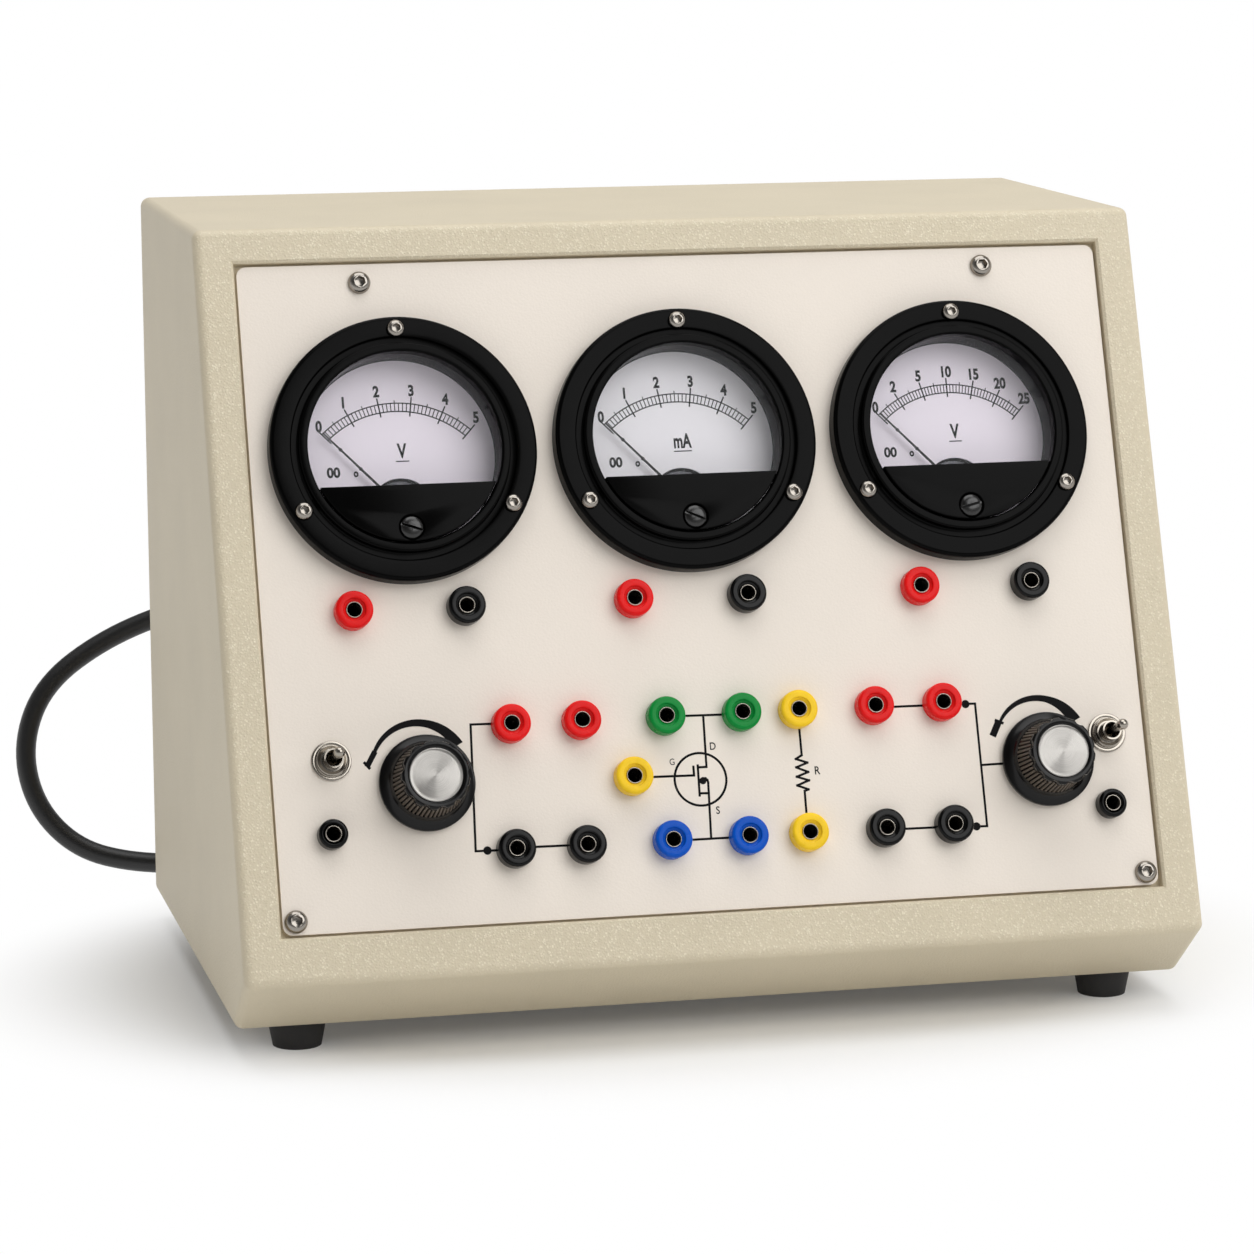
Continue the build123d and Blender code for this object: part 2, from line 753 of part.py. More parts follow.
# Knobs: a coned skirt, a fluted grip and a scalloped rim round an aluminium cap
rim_top = grip_top + rim_height
with BuildPart() as knob:
    with BuildSketch(Plane.XZ):
        with BuildLine():
            Polyline(
                (0, knob_gap),
                (skirt_radius, knob_gap),
                (skirt_radius, knob_gap + skirt_rim),
                (skirt_neck_radius, skirt_top),
                (0, skirt_top),
                close=True,
            )
        make_face()
    revolve(axis=Axis.Z)
    for height, radius in ((skirt_top, skirt_neck_radius), (grip_top, grip_top_radius)):
        with BuildSketch(Plane.XY.offset(height)):
            with BuildLine():
                Polyline(
                    *[
                        (
                            (radius - flute_depth * (step % 2)) * math.cos(math.pi * step / flute_count),
                            (radius - flute_depth * (step % 2)) * math.sin(math.pi * step / flute_count),
                        )
                        for step in range(2 * flute_count)
                    ],
                    close=True,
                )
            make_face()
    loft(ruled=True)
    with BuildSketch(Plane.XY.offset(grip_top)):
        Circle(rim_radius)
        with PolarLocations(rim_radius - scallop_depth + scallop_radius, scallop_count):
            Circle(scallop_radius, mode=Mode.SUBTRACT)
    extrude(amount=rim_height)
    with BuildSketch(Plane.XY.offset(rim_top)):
        Circle(knob_cap_radius + fit_gap)
    extrude(amount=-knob_cap_seat, mode=Mode.SUBTRACT)
    # underneath: room for the nut, for the bushing and for the shaft
    with BuildSketch(Plane.XY.offset(knob_gap)):
        Circle(pot_nut_flats / 2 / math.cos(math.pi / 6) + 2 * knob_gap)
    extrude(amount=pot_nut_thickness + knob_gap, mode=Mode.SUBTRACT)
    with BuildSketch(Plane.XY.offset(knob_gap)):
        Circle(pot_bushing_radius + knob_gap)
    extrude(amount=pot_bushing_height, mode=Mode.SUBTRACT)
    with BuildSketch(Plane.XY.offset(knob_gap)):
        Circle(pot_shaft_radius + fit_gap)
    extrude(amount=grip_top - 2 * knob_gap, mode=Mode.SUBTRACT)

knob_cap = turned(
    [
        (0, rim_top - knob_cap_seat),
        (knob_cap_radius, rim_top - knob_cap_seat),
        (knob_cap_radius, rim_top - knob_cap_seat + knob_cap_thickness - knob_cap_edge),
        (knob_cap_radius - knob_cap_edge, rim_top - knob_cap_seat + knob_cap_thickness),
        (0, rim_top - knob_cap_seat + knob_cap_thickness),
    ]
)

with BuildPart() as pot_shaft:
    with BuildSketch(Plane.XY.offset(-panel_thickness - pot_shaft_rear)):
        Circle(pot_shaft_radius)
    extrude(amount=panel_thickness + pot_shaft_rear + grip_top - 2 * knob_gap)

# The potentiometer behind the panel, with its threaded bushing and three lugs
with BuildPart() as potentiometer:
    with BuildSketch(Plane.XY.offset(-panel_thickness)):
        Circle(pot_radius)
    extrude(amount=-pot_depth)
    with BuildSketch(Plane.XY.offset(-panel_thickness)):
        Circle(pot_bushing_radius)
    extrude(amount=panel_thickness + pot_bushing_height)
    with BuildSketch(Plane.XY.offset(-panel_thickness - pot_depth / 2)):
        with Locations(*[(step * pot_lug_pitch, -pot_radius) for step in (-1, 0, 1)]):
            Rectangle(pot_lug_size[0], 2 * pot_lug_size[1])
    extrude(amount=pot_lug_size[2])
    with BuildSketch(Plane.XY.offset(pot_bushing_height)):
        Circle(pot_shaft_radius + running_gap)
    extrude(
        amount=-pot_bushing_height - panel_thickness - pot_shaft_rear - screw_clearance, mode=Mode.SUBTRACT
    )

for side, (x, s) in knob_spots.items():
    nodes[f"{side}_knob"] = placed(knob, [on_panel(x, s)])
    nodes[f"{side}_knob_cap"] = placed(knob_cap, [on_panel(x, s)])
    nodes[f"{side}_pot_shaft"] = placed(pot_shaft, [on_panel(x, s)])
    nodes[f"{side}_potentiometer"] = placed(potentiometer, [on_panel(x, s)])
pot_nut = hex_nut(pot_nut_flats, pot_nut_thickness, pot_bushing_radius + fit_gap)
nodes["potentiometer_nuts"] = placed(pot_nut, [on_panel(*spot) for spot in knob_spots.values()])

# Toggle switches: body behind the panel with a coned bushing, lever on its ball
ball_bore = lever_ball_radius + running_gap
with BuildPart() as toggle_switch:
    with BuildSketch(Plane.XY.offset(-panel_thickness)):
        Rectangle(toggle_body_size[0], toggle_body_size[1])
    extrude(amount=-toggle_body_size[2])
    with BuildSketch(Plane.XY.offset(-panel_thickness)):
        Circle(bushing_radius)
    extrude(amount=panel_thickness + bushing_height)
    with BuildSketch(Plane.XZ):
        with BuildLine():
            Polyline(
                (0, lever_pivot_height - ball_bore),
                (ball_bore, lever_pivot_height - ball_bore),
                (ball_bore, lever_pivot_height + lever_ball_radius * 0.5),
                (lever_mouth_radius, bushing_height),
                (0, bushing_height),
                close=True,
            )
        make_face()
    revolve(axis=Axis.Z, mode=Mode.SUBTRACT)

lever_tip_centre = lever_reach - lever_tip_radius
with BuildPart() as toggle_lever:
    with BuildSketch(Plane.XZ):
        with BuildLine():
            Line((0, lever_pivot_height - lever_ball_radius), (0, lever_reach))
            neck_rise = math.sqrt(lever_ball_radius**2 - lever_neck_radius**2)
            tip_drop = math.sqrt(lever_tip_radius**2 - (lever_tip_radius * 0.9) ** 2)
            ThreePointArc(
                (0, lever_pivot_height - lever_ball_radius),
                (lever_ball_radius, lever_pivot_height),
                (lever_neck_radius, lever_pivot_height + neck_rise),
            )
            Line(
                (lever_neck_radius, lever_pivot_height + neck_rise),
                (lever_tip_radius * 0.9, lever_tip_centre - tip_drop),
            )
            ThreePointArc(
                (lever_tip_radius * 0.9, lever_tip_centre - tip_drop),
                (lever_tip_radius, lever_tip_centre),
                (0, lever_reach),
            )
        make_face()
    revolve(axis=Axis.Z)

dress_nut = turned(
    [
        (bushing_radius + fit_gap, 0),
        (dress_nut_radius, 0),
        (dress_nut_radius, dress_nut_rim - dress_nut_edge),
        (dress_nut_radius - dress_nut_edge, dress_nut_rim),
        (dress_nut_step_radius, dress_nut_rim),
        (dress_nut_step_radius - dress_nut_edge, dress_nut_height),
        (bushing_radius + fit_gap, dress_nut_height),
    ]
)
for side, (x, s) in toggle_spots.items():
    nodes[f"{side}_toggle_switch"] = placed(toggle_switch, [on_panel(x, s)])
    nodes[f"{side}_toggle_lever"] = placed(toggle_lever, [on_panel(x, s)])
nodes["toggle_nuts"] = placed(dress_nut, [on_panel(*spot) for spot in toggle_spots.values()])

# Transformer: a laminated core with two windows, and the winding round its middle leg
core_yoke = core_leg / 2
core_height = core_window_height + 2 * core_yoke
core_middle = floor_z + core_height / 2
core_plane = Plane(origin=(transformer_x, transformer_y, core_middle), x_dir=(1, 0, 0), z_dir=(0, -1, 0))
with BuildPart() as transformer_core:
    with BuildSketch(core_plane):
        Rectangle(3 * core_leg, core_height)
        with Locations((-0.75 * core_leg, 0), (0.75 * core_leg, 0)):
            Rectangle(core_yoke, core_window_height, mode=Mode.SUBTRACT)
    extrude(amount=core_stack / 2, both=True)
nodes["transformer_core"] = transformer_core

with BuildPart() as transformer_winding:
    with BuildSketch(Plane(origin=(transformer_x, transformer_y, core_middle))):
        RectangleRounded(
            2 * core_leg - 2 * winding_gap, core_stack + core_leg - 2 * winding_gap, winding_corner
        )
        Rectangle(core_leg + winding_gap, core_stack + winding_gap, mode=Mode.SUBTRACT)
    extrude(amount=core_window_height / 2 - winding_gap / 2, both=True)
nodes["transformer_winding"] = transformer_winding

# Circuit board on four spacers, with its capacitors, bridge and regulators
board_middle = Plane(origin=(board_x, board_y, floor_z + board_lift))
with BuildPart() as circuit_board:
    with BuildSketch(board_middle):
        Rectangle(board_length, board_width)
    extrude(amount=board_thickness)
nodes["circuit_board"] = circuit_board

with BuildPart() as board_spacers:
    with BuildSketch(Plane(origin=(board_x, board_y, floor_z))):
        with GridLocations(board_length - 2 * spacer_inset, board_width - 2 * spacer_inset, 2, 2):
            Circle(spacer_radius)
    extrude(amount=board_lift)
nodes["board_spacers"] = board_spacers

board_top = board_middle.offset(board_thickness)
with BuildPart() as board_parts:
    with BuildSketch(board_top):
        with Locations((-board_length / 4, 0)):
            with GridLocations(capacitor_pitch, 0, 2, 1):
                Circle(capacitor_radius)
    extrude(amount=capacitor_height)
    with BuildSketch(board_top):
        with Locations((board_length / 4, -board_width / 4)):
            with GridLocations(regulator_pitch, 0, 2, 1):
                Rectangle(regulator_size[0], regulator_size[1])
    extrude(amount=regulator_size[2])
    with BuildSketch(board_top):
        with Locations((board_length / 4, board_width / 4)):
            Rectangle(bridge_size[0], bridge_size[1])
    extrude(amount=bridge_size[2])
nodes["board_parts"] = board_parts

# Strain relief: flange outside the rear cover, lock inside it, tapered tail
gland = turned(
    [
        (0, -rear_cover_thickness - gland_lock_depth),
        (gland_lock_radius, -rear_cover_thickness - gland_lock_depth),
        (gland_lock_radius, -rear_cover_thickness),
        (gland_neck_radius, -rear_cover_thickness),
        (gland_neck_radius, 0),
        (gland_flange_radius, 0),
        (gland_flange_radius, gland_flange_height),
        (gland_tail_radius, gland_flange_height),
        (gland_tip_radius, gland_flange_height + gland_tail_length),
        (0, gland_flange_height + gland_tail_length),
    ]
)
gland_plane = Plane(origin=(gland_x, cover_face.origin.Y, gland_z), x_dir=(-1, 0, 0), z_dir=(0, 1, 0))
nodes["cord_gland"] = placed(gland, [gland_plane])


def bend_radii(route):
    """The radius of each corner: 0.45 of its shorter run over the tangent of half its turn."""
    radii = []
    for before, at, after in zip(route, route[1:], route[2:]):
        first = Vector(*at) - Vector(*before)
        second = Vector(*after) - Vector(*at)
        half_turn = math.radians(first.get_angle(second)) / 2
        radii.append(0.45 * min(first.length, second.length) / math.tan(half_turn))
    return radii


lead_radii = bend_radii(lead_route)
print("lead bend radii", [round(radius, 1) for radius in lead_radii])
with BuildPart() as cord_lead:
    with BuildLine() as lead_line:
        FilletPolyline(*lead_route, radius=lead_radii)
    with BuildSketch(Plane(origin=lead_line.line @ 0, z_dir=lead_line.line % 0)):
        Circle(cord_radius)
    sweep()
lead_path = lead_line.wire()
lead_length = lead_path.length
print(
    "lead length", round(lead_length, 1),
    "volume over section", round(cord_lead.part.volume / (math.pi * cord_radius**2), 1),
)
nodes["cord_lead"] = cord_lead

# Coil: it spirals in below and out above at one rate, and climbs in the half turn between
turn_pitch = cord_diameter + coil_turn_gap
coil_start = Vector(*lead_route[-1])
coil_entry = coil_start + Vector(cord_diameter, 0, 0)
coil_centre = coil_entry + Vector(0, coil_outer_radius, 0)


def coil_point(turns):
    """A point of the coil's middle line, this many turns from its start."""
    turns_in = min(turns, coil_turns - turns)
    radius = coil_outer_radius - turn_pitch * turns_in
    climbed = min(max((turns - coil_turns / 2) / coil_climb_turns + 0.5, 0), 1)
    angle = 2 * math.pi * turns - math.pi / 2
    return coil_centre + Vector(
        radius * math.cos(angle), radius * math.sin(angle), turn_pitch * (1 - math.cos(math.pi * climbed)) / 2
    )


def coil_heading(turns):
    """The coil's direction there, which is straight along X at both of its ends."""
    if turns in (0, coil_turns):
        return Vector(1, 0, 0)
    return (coil_point(turns + 1e-5) - coil_point(turns - 1e-5)).normalized()


def biarc(start, start_heading, end, end_heading):
    """Two tangent arcs that join two points in the headings given."""
    chord = end - start
    spread = 2 * (1 - start_heading.dot(end_heading))
    along = 2 * chord.dot(start_heading + end_heading)
    reach = (math.sqrt(along**2 + 4 * spread * chord.dot(chord)) - along) / (2 * spread)
    before, after = start + start_heading * reach, end - end_heading * reach
    middle = (before + after) * 0.5
    TangentArc(start, middle, tangent=start_heading)
    TangentArc(middle, end, tangent=(after - before).normalized())


coil_exit = coil_point(coil_turns)
plug_start = coil_exit + Vector(coil_exit_run, 0, 0)
coil_steps = [step / 4 for step in range(4 * coil_turns + 1)]
with BuildPart() as cord_coil:
    with BuildLine() as coil_line:
        Line(coil_start, coil_entry)
        for turns, next_turns in zip(coil_steps, coil_steps[1:]):
            biarc(coil_point(turns), coil_heading(turns), coil_point(next_turns), coil_heading(next_turns))
        Line(coil_exit, plug_start)
    with BuildSketch(Plane(origin=coil_start, z_dir=(1, 0, 0))):
        Circle(cord_radius)
    sweep()
coil_path = coil_line.wire()
coil_length = coil_path.length
print(
    "coil length", round(coil_length, 1),
    "volume over section", round(cord_coil.part.volume / (math.pi * cord_radius**2), 1),
)
nodes["cord_coil"] = cord_coil

# The least gap between stretches of the cord that aren't neighbours, from points along it
trail = [
    tuple(path @ (step / round(path.length / 2)))
    for path in (lead_path, coil_path)
    for step in range(round(path.length / 2))
]
least_gap = min(
    math.dist(trail[i], trail[j]) for i in range(len(trail)) for j in range(i + 20, len(trail))
) - cord_diameter
print("least gap of the cord to itself", round(least_gap, 2), "whole length", round(lead_length + coil_length))

# Plug: a moulded body lying on the bench, its relief, two blades and the earth pin
plug_height = 2 * plug_start.Z
plug_plane = Plane(origin=plug_start, x_dir=(0, 1, 0), z_dir=(1, 0, 0))
plug_face = plug_plane.offset(plug_relief_length + plug_length)
with BuildPart() as plug_pins:
    with BuildSketch(plug_face.offset(-plug_pin_hold)):
        with Locations((-plug_blade_pitch / 2, plug_blade_lift), (plug_blade_pitch / 2, plug_blade_lift)):
            Rectangle(plug_blade_size[1], plug_blade_size[2])
    extrude(amount=plug_pin_hold + plug_blade_size[0])
    with BuildSketch(plug_face.offset(-plug_pin_hold)):
        with Locations((0, -earth_pin_drop)):
            Circle(earth_pin_radius)
    extrude(amount=plug_pin_hold + earth_pin_length)
nodes["plug_pins"] = plug_pins

with BuildPart() as plug_body:
    with BuildSketch(plug_plane):
        Circle(gland_tip_radius)
    with BuildSketch(plug_plane.offset(plug_relief_length)):
        Circle(gland_tail_radius)
    loft()
    for back, size in (
        (0, (plug_grip_width, plug_height * 0.8)),
        (plug_length * 0.4, (plug_width, plug_height)),
    ):
        with BuildSketch(plug_plane.offset(plug_relief_length + back)):
            RectangleRounded(*size, plug_corner)
    loft(ruled=True)
    with BuildSketch(plug_face):
        RectangleRounded(plug_width, plug_height, plug_corner)
    extrude(amount=-plug_length * 0.6)
    add(plug_pins.part, mode=Mode.SUBTRACT)
nodes["plug_body"] = plug_body

# One STEP file for each node
os.makedirs("parts", exist_ok=True)
for name, node in nodes.items():
    node.part.label = name
    export_step(node.part, f"parts/{name}.step")
print(len(nodes), "nodes")
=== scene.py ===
# %% [markdown]
# # A transistor characteristics trainer
# The real object is a bench console for lessons on transistors. A pebbled cream case leans its front panel back,
# and the panel carries three round moving-coil meters, two fluted knobs, two toggle switches and
# twenty-one coloured sockets joined by printed circuit lines. A mains lead leaves at the back.
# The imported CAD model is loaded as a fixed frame, so that every finer piece has an exact place to go to.

# %% Load the frame
import math

import bpy
from mathutils import Matrix, Vector


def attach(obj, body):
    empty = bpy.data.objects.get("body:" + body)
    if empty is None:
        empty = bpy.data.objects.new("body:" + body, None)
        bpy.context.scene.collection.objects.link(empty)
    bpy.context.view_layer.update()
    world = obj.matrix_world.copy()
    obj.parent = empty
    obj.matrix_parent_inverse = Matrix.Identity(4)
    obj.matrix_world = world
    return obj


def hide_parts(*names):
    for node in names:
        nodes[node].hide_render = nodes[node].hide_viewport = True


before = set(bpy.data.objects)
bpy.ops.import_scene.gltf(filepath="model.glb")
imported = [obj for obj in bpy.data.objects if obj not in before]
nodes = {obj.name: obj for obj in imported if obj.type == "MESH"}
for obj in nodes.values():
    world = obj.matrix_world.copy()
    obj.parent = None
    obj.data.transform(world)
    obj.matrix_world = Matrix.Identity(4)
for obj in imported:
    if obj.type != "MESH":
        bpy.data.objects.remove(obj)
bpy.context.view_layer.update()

# %% [markdown]
# The photograph was taken from the user's left, a little above the console, with a long lens: its vertical edges
# barely converge. The camera could be guessed by eye. Here its place was solved from ten corners of the case
# and panel, and the turn is built from yaw, pitch and roll, because those three say what a photographer did.

# %% Camera
yaw, pitch, roll = math.radians(13.1), math.radians(10.2), math.radians(-0.23)
ahead = Vector((math.sin(yaw) * math.cos(pitch), math.cos(yaw) * math.cos(pitch), -math.sin(pitch)))
level_right = Vector((math.cos(yaw), -math.sin(yaw), 0))
level_up = level_right.cross(ahead)
camera_right = math.cos(roll) * level_right + math.sin(roll) * level_up
camera_up = math.cos(roll) * level_up - math.sin(roll) * level_right
lens = bpy.data.cameras.new("camera")
lens.lens = 131.43
lens.sensor_width = 36
lens.clip_start = 0.05
camera = bpy.data.objects.new("camera", lens)
bpy.context.scene.collection.objects.link(camera)
camera_place = (-0.337, -1.408, 0.372)
camera_axes = Matrix((camera_right, camera_up, -ahead)).transposed().to_4x4()
camera.matrix_world = Matrix.Translation(camera_place) @ camera_axes
bpy.context.scene.camera = camera
print("camera at", tuple(round(v, 3) for v in camera.location), "looks along", tuple(round(v, 3) for v in ahead))

# %% [markdown]
# A few small helpers come first. Every operator works on whatever is selected, so nothing may be selected by
# accident. A node material starts from Blender's Principled shader, and its links are written as short pairs. The
# node helpers serve the world as well, which has a node tree of its own.

# %% Selecting and wiring helpers
def select_only(*pieces):
    bpy.ops.object.select_all(action="DESELECT")
    for piece in pieces:
        piece.select_set(True)
    if pieces:
        bpy.context.view_layer.objects.active = pieces[0]


def just_added(name):
    """Names the piece that an operator has just made or joined."""
    piece = bpy.context.object
    piece.name = piece.data.name = name
    return piece


def new_material(name, color, roughness, **sockets):
    material = bpy.data.materials.new(name)
    material.use_nodes = True
    shader = material.node_tree.nodes["Principled BSDF"]
    shader.inputs["Base Color"].default_value = (*color, 1)
    shader.inputs["Roughness"].default_value = roughness
    for socket, value in sockets.items():
        shader.inputs[socket.replace("_", " ")].default_value = value
    material.diffuse_color = (*color, 1)
    return material


def add_node(material, kind, **settings):
    node = material.node_tree.nodes.new(kind)
    for key, value in settings.items():
        if key in node.inputs:
            node.inputs[key].default_value = value
        else:
            setattr(node, key, value)
    return node


def wire(material, *pairs):
    for source, target in zip(pairs[::2], pairs[1::2]):
        material.node_tree.links.new(source, target)


def combine(material, operation, *sources):
    """The output of a maths node that is fed with numbers or with other nodes' outputs."""
    node = add_node(material, "ShaderNodeMath", operation=operation)
    for socket, source in zip(node.inputs, sources):
        if isinstance(source, float):
            socket.default_value = source
        else:
            wire(material, source, socket)
    return node.outputs[0]


def remap(material, low, high, to_low=0.0, to_high=1.0, interpolation="SMOOTHSTEP"):
    """Carries values between two limits over to two others."""
    limits = {"From Min": low, "From Max": high, "To Min": to_low, "To Max": to_high}
    return add_node(material, "ShaderNodeMapRange", interpolation_type=interpolation, **limits)


def linear(red, green, blue):
    """A colour read off a screen, 0 to 255, as the shader wants it."""
    return tuple((v / 255 / 12.92) if v <= 10 else ((v / 255 + 0.055) / 1.055) ** 2.4 for v in (red, green, blue))


# %% [markdown]
# The photograph's floor is plain white with a soft shadow close to the object. Pouring light on until the floor
# is white would bleach the case too. So the floor is lit at an ordinary level, and its material adds the missing
# brightness only for the camera and for gloss and glass. Near the object that share is small, so the shadow stays.

# %% Floor
select_only()
bpy.ops.mesh.primitive_plane_add(size=30, location=(0, 0, 0))
floor = bpy.context.object
floor.name = "floor"
paper = new_material("floor_paper", (0.85, 0.85, 0.845), 0.9)
paper.node_tree.nodes["Principled BSDF"].inputs["Specular IOR Level"].default_value = 0
ray = add_node(paper, "ShaderNodeLightPath")
place = add_node(paper, "ShaderNodeTexCoord")
shadow_half_width, shadow_half_depth = 0.165, 0.12
oval = add_node(paper, "ShaderNodeMapping", Scale=(1 / shadow_half_width, 1 / shadow_half_depth, 1))
distance = add_node(paper, "ShaderNodeVectorMath", operation="LENGTH")
shadow_full, shadow_gone = 0.88, 1.45
far = remap(paper, shadow_full, shadow_gone)
seen = combine(paper, "MAXIMUM", ray.outputs["Is Camera Ray"], ray.outputs["Is Glossy Ray"])
seen_or_through = combine(paper, "MAXIMUM", seen, ray.outputs["Is Transmission Ray"])
glow = add_node(paper, "ShaderNodeEmission", Strength=1.0)
near_glow = add_node(paper, "ShaderNodeEmission", Strength=0.07)
lit = add_node(paper, "ShaderNodeAddShader")
fade = add_node(paper, "ShaderNodeMixShader")
choice = add_node(paper, "ShaderNodeMixShader")
output = paper.node_tree.nodes["Material Output"]
plain = paper.node_tree.nodes["Principled BSDF"].outputs["BSDF"]
wire(
    paper,
    place.outputs["Object"], oval.inputs["Vector"], oval.outputs["Vector"], distance.inputs[0],
    distance.outputs["Value"], far.inputs["Value"],
    plain, lit.inputs[0], near_glow.outputs[0], lit.inputs[1],
    far.outputs["Result"], fade.inputs["Fac"], lit.outputs[0], fade.inputs[1], glow.outputs[0], fade.inputs[2],
    seen_or_through, choice.inputs["Fac"], plain, choice.inputs[1], fade.outputs[0], choice.inputs[2],
    choice.outputs[0], output.inputs["Surface"],
)
floor.data.materials.append(paper)
print("floor", round(floor.dimensions.x), "m wide")

# %% [markdown]
# Metal looks like metal only when it has something light and something dark to mirror. The studio's back wall is
# white, as the backdrop, and the room grows dim towards the ceiling and behind the photographer. Two softboxes do
# the rest: a large one above the front on the right, as the shadows in the photograph say, and a wide one overhead.

# %% World and lamps
world = bpy.data.worlds.new("studio")
bpy.context.scene.world = world
world.use_nodes = True
sky = world.node_tree.nodes["Background"]
heading = add_node(world, "ShaderNodeTexCoord")
split = add_node(world, "ShaderNodeSeparateXYZ")
height_dim = remap(world, 0.12, 0.5, 1.0, 0.3)
front_dim = remap(world, -0.7, 0.1, 0.35, 1.0)
walls = combine(world, "MULTIPLY", height_dim.outputs["Result"], front_dim.outputs["Result"])
wire(
    world,
    heading.outputs["Generated"], split.inputs["Vector"], split.outputs["Z"], height_dim.inputs["Value"],
    split.outputs["Y"], front_dim.inputs["Value"], walls, sky.inputs["Strength"],
)
sky.inputs["Color"].default_value = (1, 1, 1, 1)
bpy.context.scene.view_settings.view_transform = "Standard"


def add_lamp(name, place, target, size, power):
    lamp = bpy.data.lights.new(name, "AREA")
    lamp.shape = "RECTANGLE"
    lamp.size, lamp.size_y = size
    lamp.energy = power
    holder = bpy.data.objects.new(name, lamp)
    bpy.context.scene.collection.objects.link(holder)
    holder.location = place
    holder.rotation_euler = (Vector(target) - Vector(place)).to_track_quat("-Z", "Y").to_euler()


add_lamp("key_softbox", (1.0, -1.6, 1.5), (0, 0, 0.12), (1.9, 1.5), 26)
add_lamp("top_softbox", (0.1, 0.0, 1.9), (0, 0, 0.1), (1.8, 1.6), 21)
print("two softboxes in a white-walled room")

# %% [markdown]
# The mains lead goes first, because its room on the bench decides how far the model spreads. On the real console
# a black rubber lead as thick as a pencil leaves the back, drops to the bench and swings past the left side.
# A mesh tube could be swept, but a lead is one smooth line, so it is a NURBS curve with a round bevel.
# Its control points are the CAD route's own points. What the photograph doesn't show lies behind the case
# as a flat coil of two layers: two turns in, then two turns out on top of them.

# %% Mains lead
mm = 0.001
lead_diameter = 7.0
lead_route = [
    (-95, 133.5, 98), (-95, 156, 98), (-107, 178, 95), (-129, 192, 90.5), (-155.5, 195, 80),
    (-177.5, 191.5, 65), (-186, 186.5, 44.5), (-182.5, 181, 24), (-169, 175.5, 9), (-149.5, 171, 3.5),
    (-124, 164, 3.5), (-98, 148.5, 3.5), (-70, 133.5, 3.5), (-42, 126, 3.5), (-15, 126, 3.5),
]
coil_centre = Vector((-8, 174, 3.5))
coil_radius, coil_pitch, coil_turns = 48.0, 7.9, 4


def coil_point(turn):
    radius = coil_radius - coil_pitch * min(turn, coil_turns - turn)
    climb = (1 - math.cos(math.pi * min(max((turn - coil_turns / 2) / 0.5 + 0.5, 0), 1))) / 2
    angle = 2 * math.pi * turn
    return coil_centre + Vector((radius * math.sin(angle), -radius * math.cos(angle), coil_pitch * climb))


coil = [tuple(coil_point(step / 16)) for step in range(16 * coil_turns + 1)]
lead_points = lead_route + [tuple(Vector(lead_route[-1]) + Vector((lead_diameter, 0, 0)))] + coil[1:]
lead_points += [(18, 126, 11.4), (44, 126, 11.4)]
lead_curve = bpy.data.curves.new("mains_lead", "CURVE")
lead_curve.dimensions = "3D"
spline = lead_curve.splines.new("NURBS")
spline.points.add(len(lead_points) - 1)
for point, place in zip(spline.points, lead_points):
    point.co = (*(v * mm for v in place), 1)
    point.radius = lead_diameter / 2 * mm
spline.order_u = 3
spline.use_endpoint_u = True
spline.resolution_u = 8
lead_curve.bevel_depth = 1.0
lead_curve.bevel_resolution = 6
lead_curve.use_fill_caps = True
mains_lead = bpy.data.objects.new("mains_lead", lead_curve)
bpy.context.scene.collection.objects.link(mains_lead)
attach(mains_lead, "trainer")
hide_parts("cord_lead", "cord_coil")
print("the lead has", len(lead_points), "control points")

# %% [markdown]
# The case is steel with a pebbled stoving paint, fine as leather. The grain is two layers of cells and noise
# in the bump, at about half a millimetre, with a little difference in colour. The panel is nearly smooth, and
# rubber is duller, so one helper makes them all from a grain size and a depth.

# %% Grained finishes
def object_place(material):
    return add_node(material, "ShaderNodeTexCoord").outputs["Object"]


def tint(material, factor, dark, light, low=0.3, high=0.7):
    """Colours the surface between two shades by a 0 to 1 pattern."""
    ramp = add_node(material, "ShaderNodeValToRGB")
    ramp.color_ramp.elements[0].color, ramp.color_ramp.elements[1].color = (*dark, 1), (*light, 1)
    ramp.color_ramp.elements[0].position, ramp.color_ramp.elements[1].position = low, high
    shader = material.node_tree.nodes["Principled BSDF"]
    wire(material, factor, ramp.inputs["Fac"], ramp.outputs["Color"], shader.inputs["Base Color"])


def grain(material, height, strength, distance=0.0002):
    bump = add_node(material, "ShaderNodeBump", Strength=strength, Distance=distance)
    shader = material.node_tree.nodes["Principled BSDF"]
    wire(material, height, bump.inputs["Height"], bump.outputs["Normal"], shader.inputs["Normal"])


def pebbled(name, color, grain_mm, roughness, strength, spread=0.05):
    material = new_material(name, color, roughness)
    place = object_place(material)
    cells = add_node(material, "ShaderNodeTexVoronoi", Scale=1000 / grain_mm, feature="SMOOTH_F1")
    fine = add_node(material, "ShaderNodeTexNoise", Scale=1800 / grain_mm, Detail=3.0)
    cloud = add_node(material, "ShaderNodeTexNoise", Scale=28.0, Detail=4.0)
    wire(material, place, cells.inputs["Vector"], place, fine.inputs["Vector"], place, cloud.inputs["Vector"])
    height = combine(material, "MULTIPLY_ADD", fine.outputs["Fac"], 0.5, cells.outputs["Distance"])
    grain(material, height, strength)
    speckle = combine(material, "ADD", cloud.outputs["Fac"], fine.outputs["Fac"])
    dark = tuple(v * (1 - spread) for v in color)
    light = tuple(min(1, v * (1 + spread)) for v in color)
    tint(material, combine(material, "MULTIPLY", speckle, 0.5), dark, light, 0.36, 0.64)
    return material


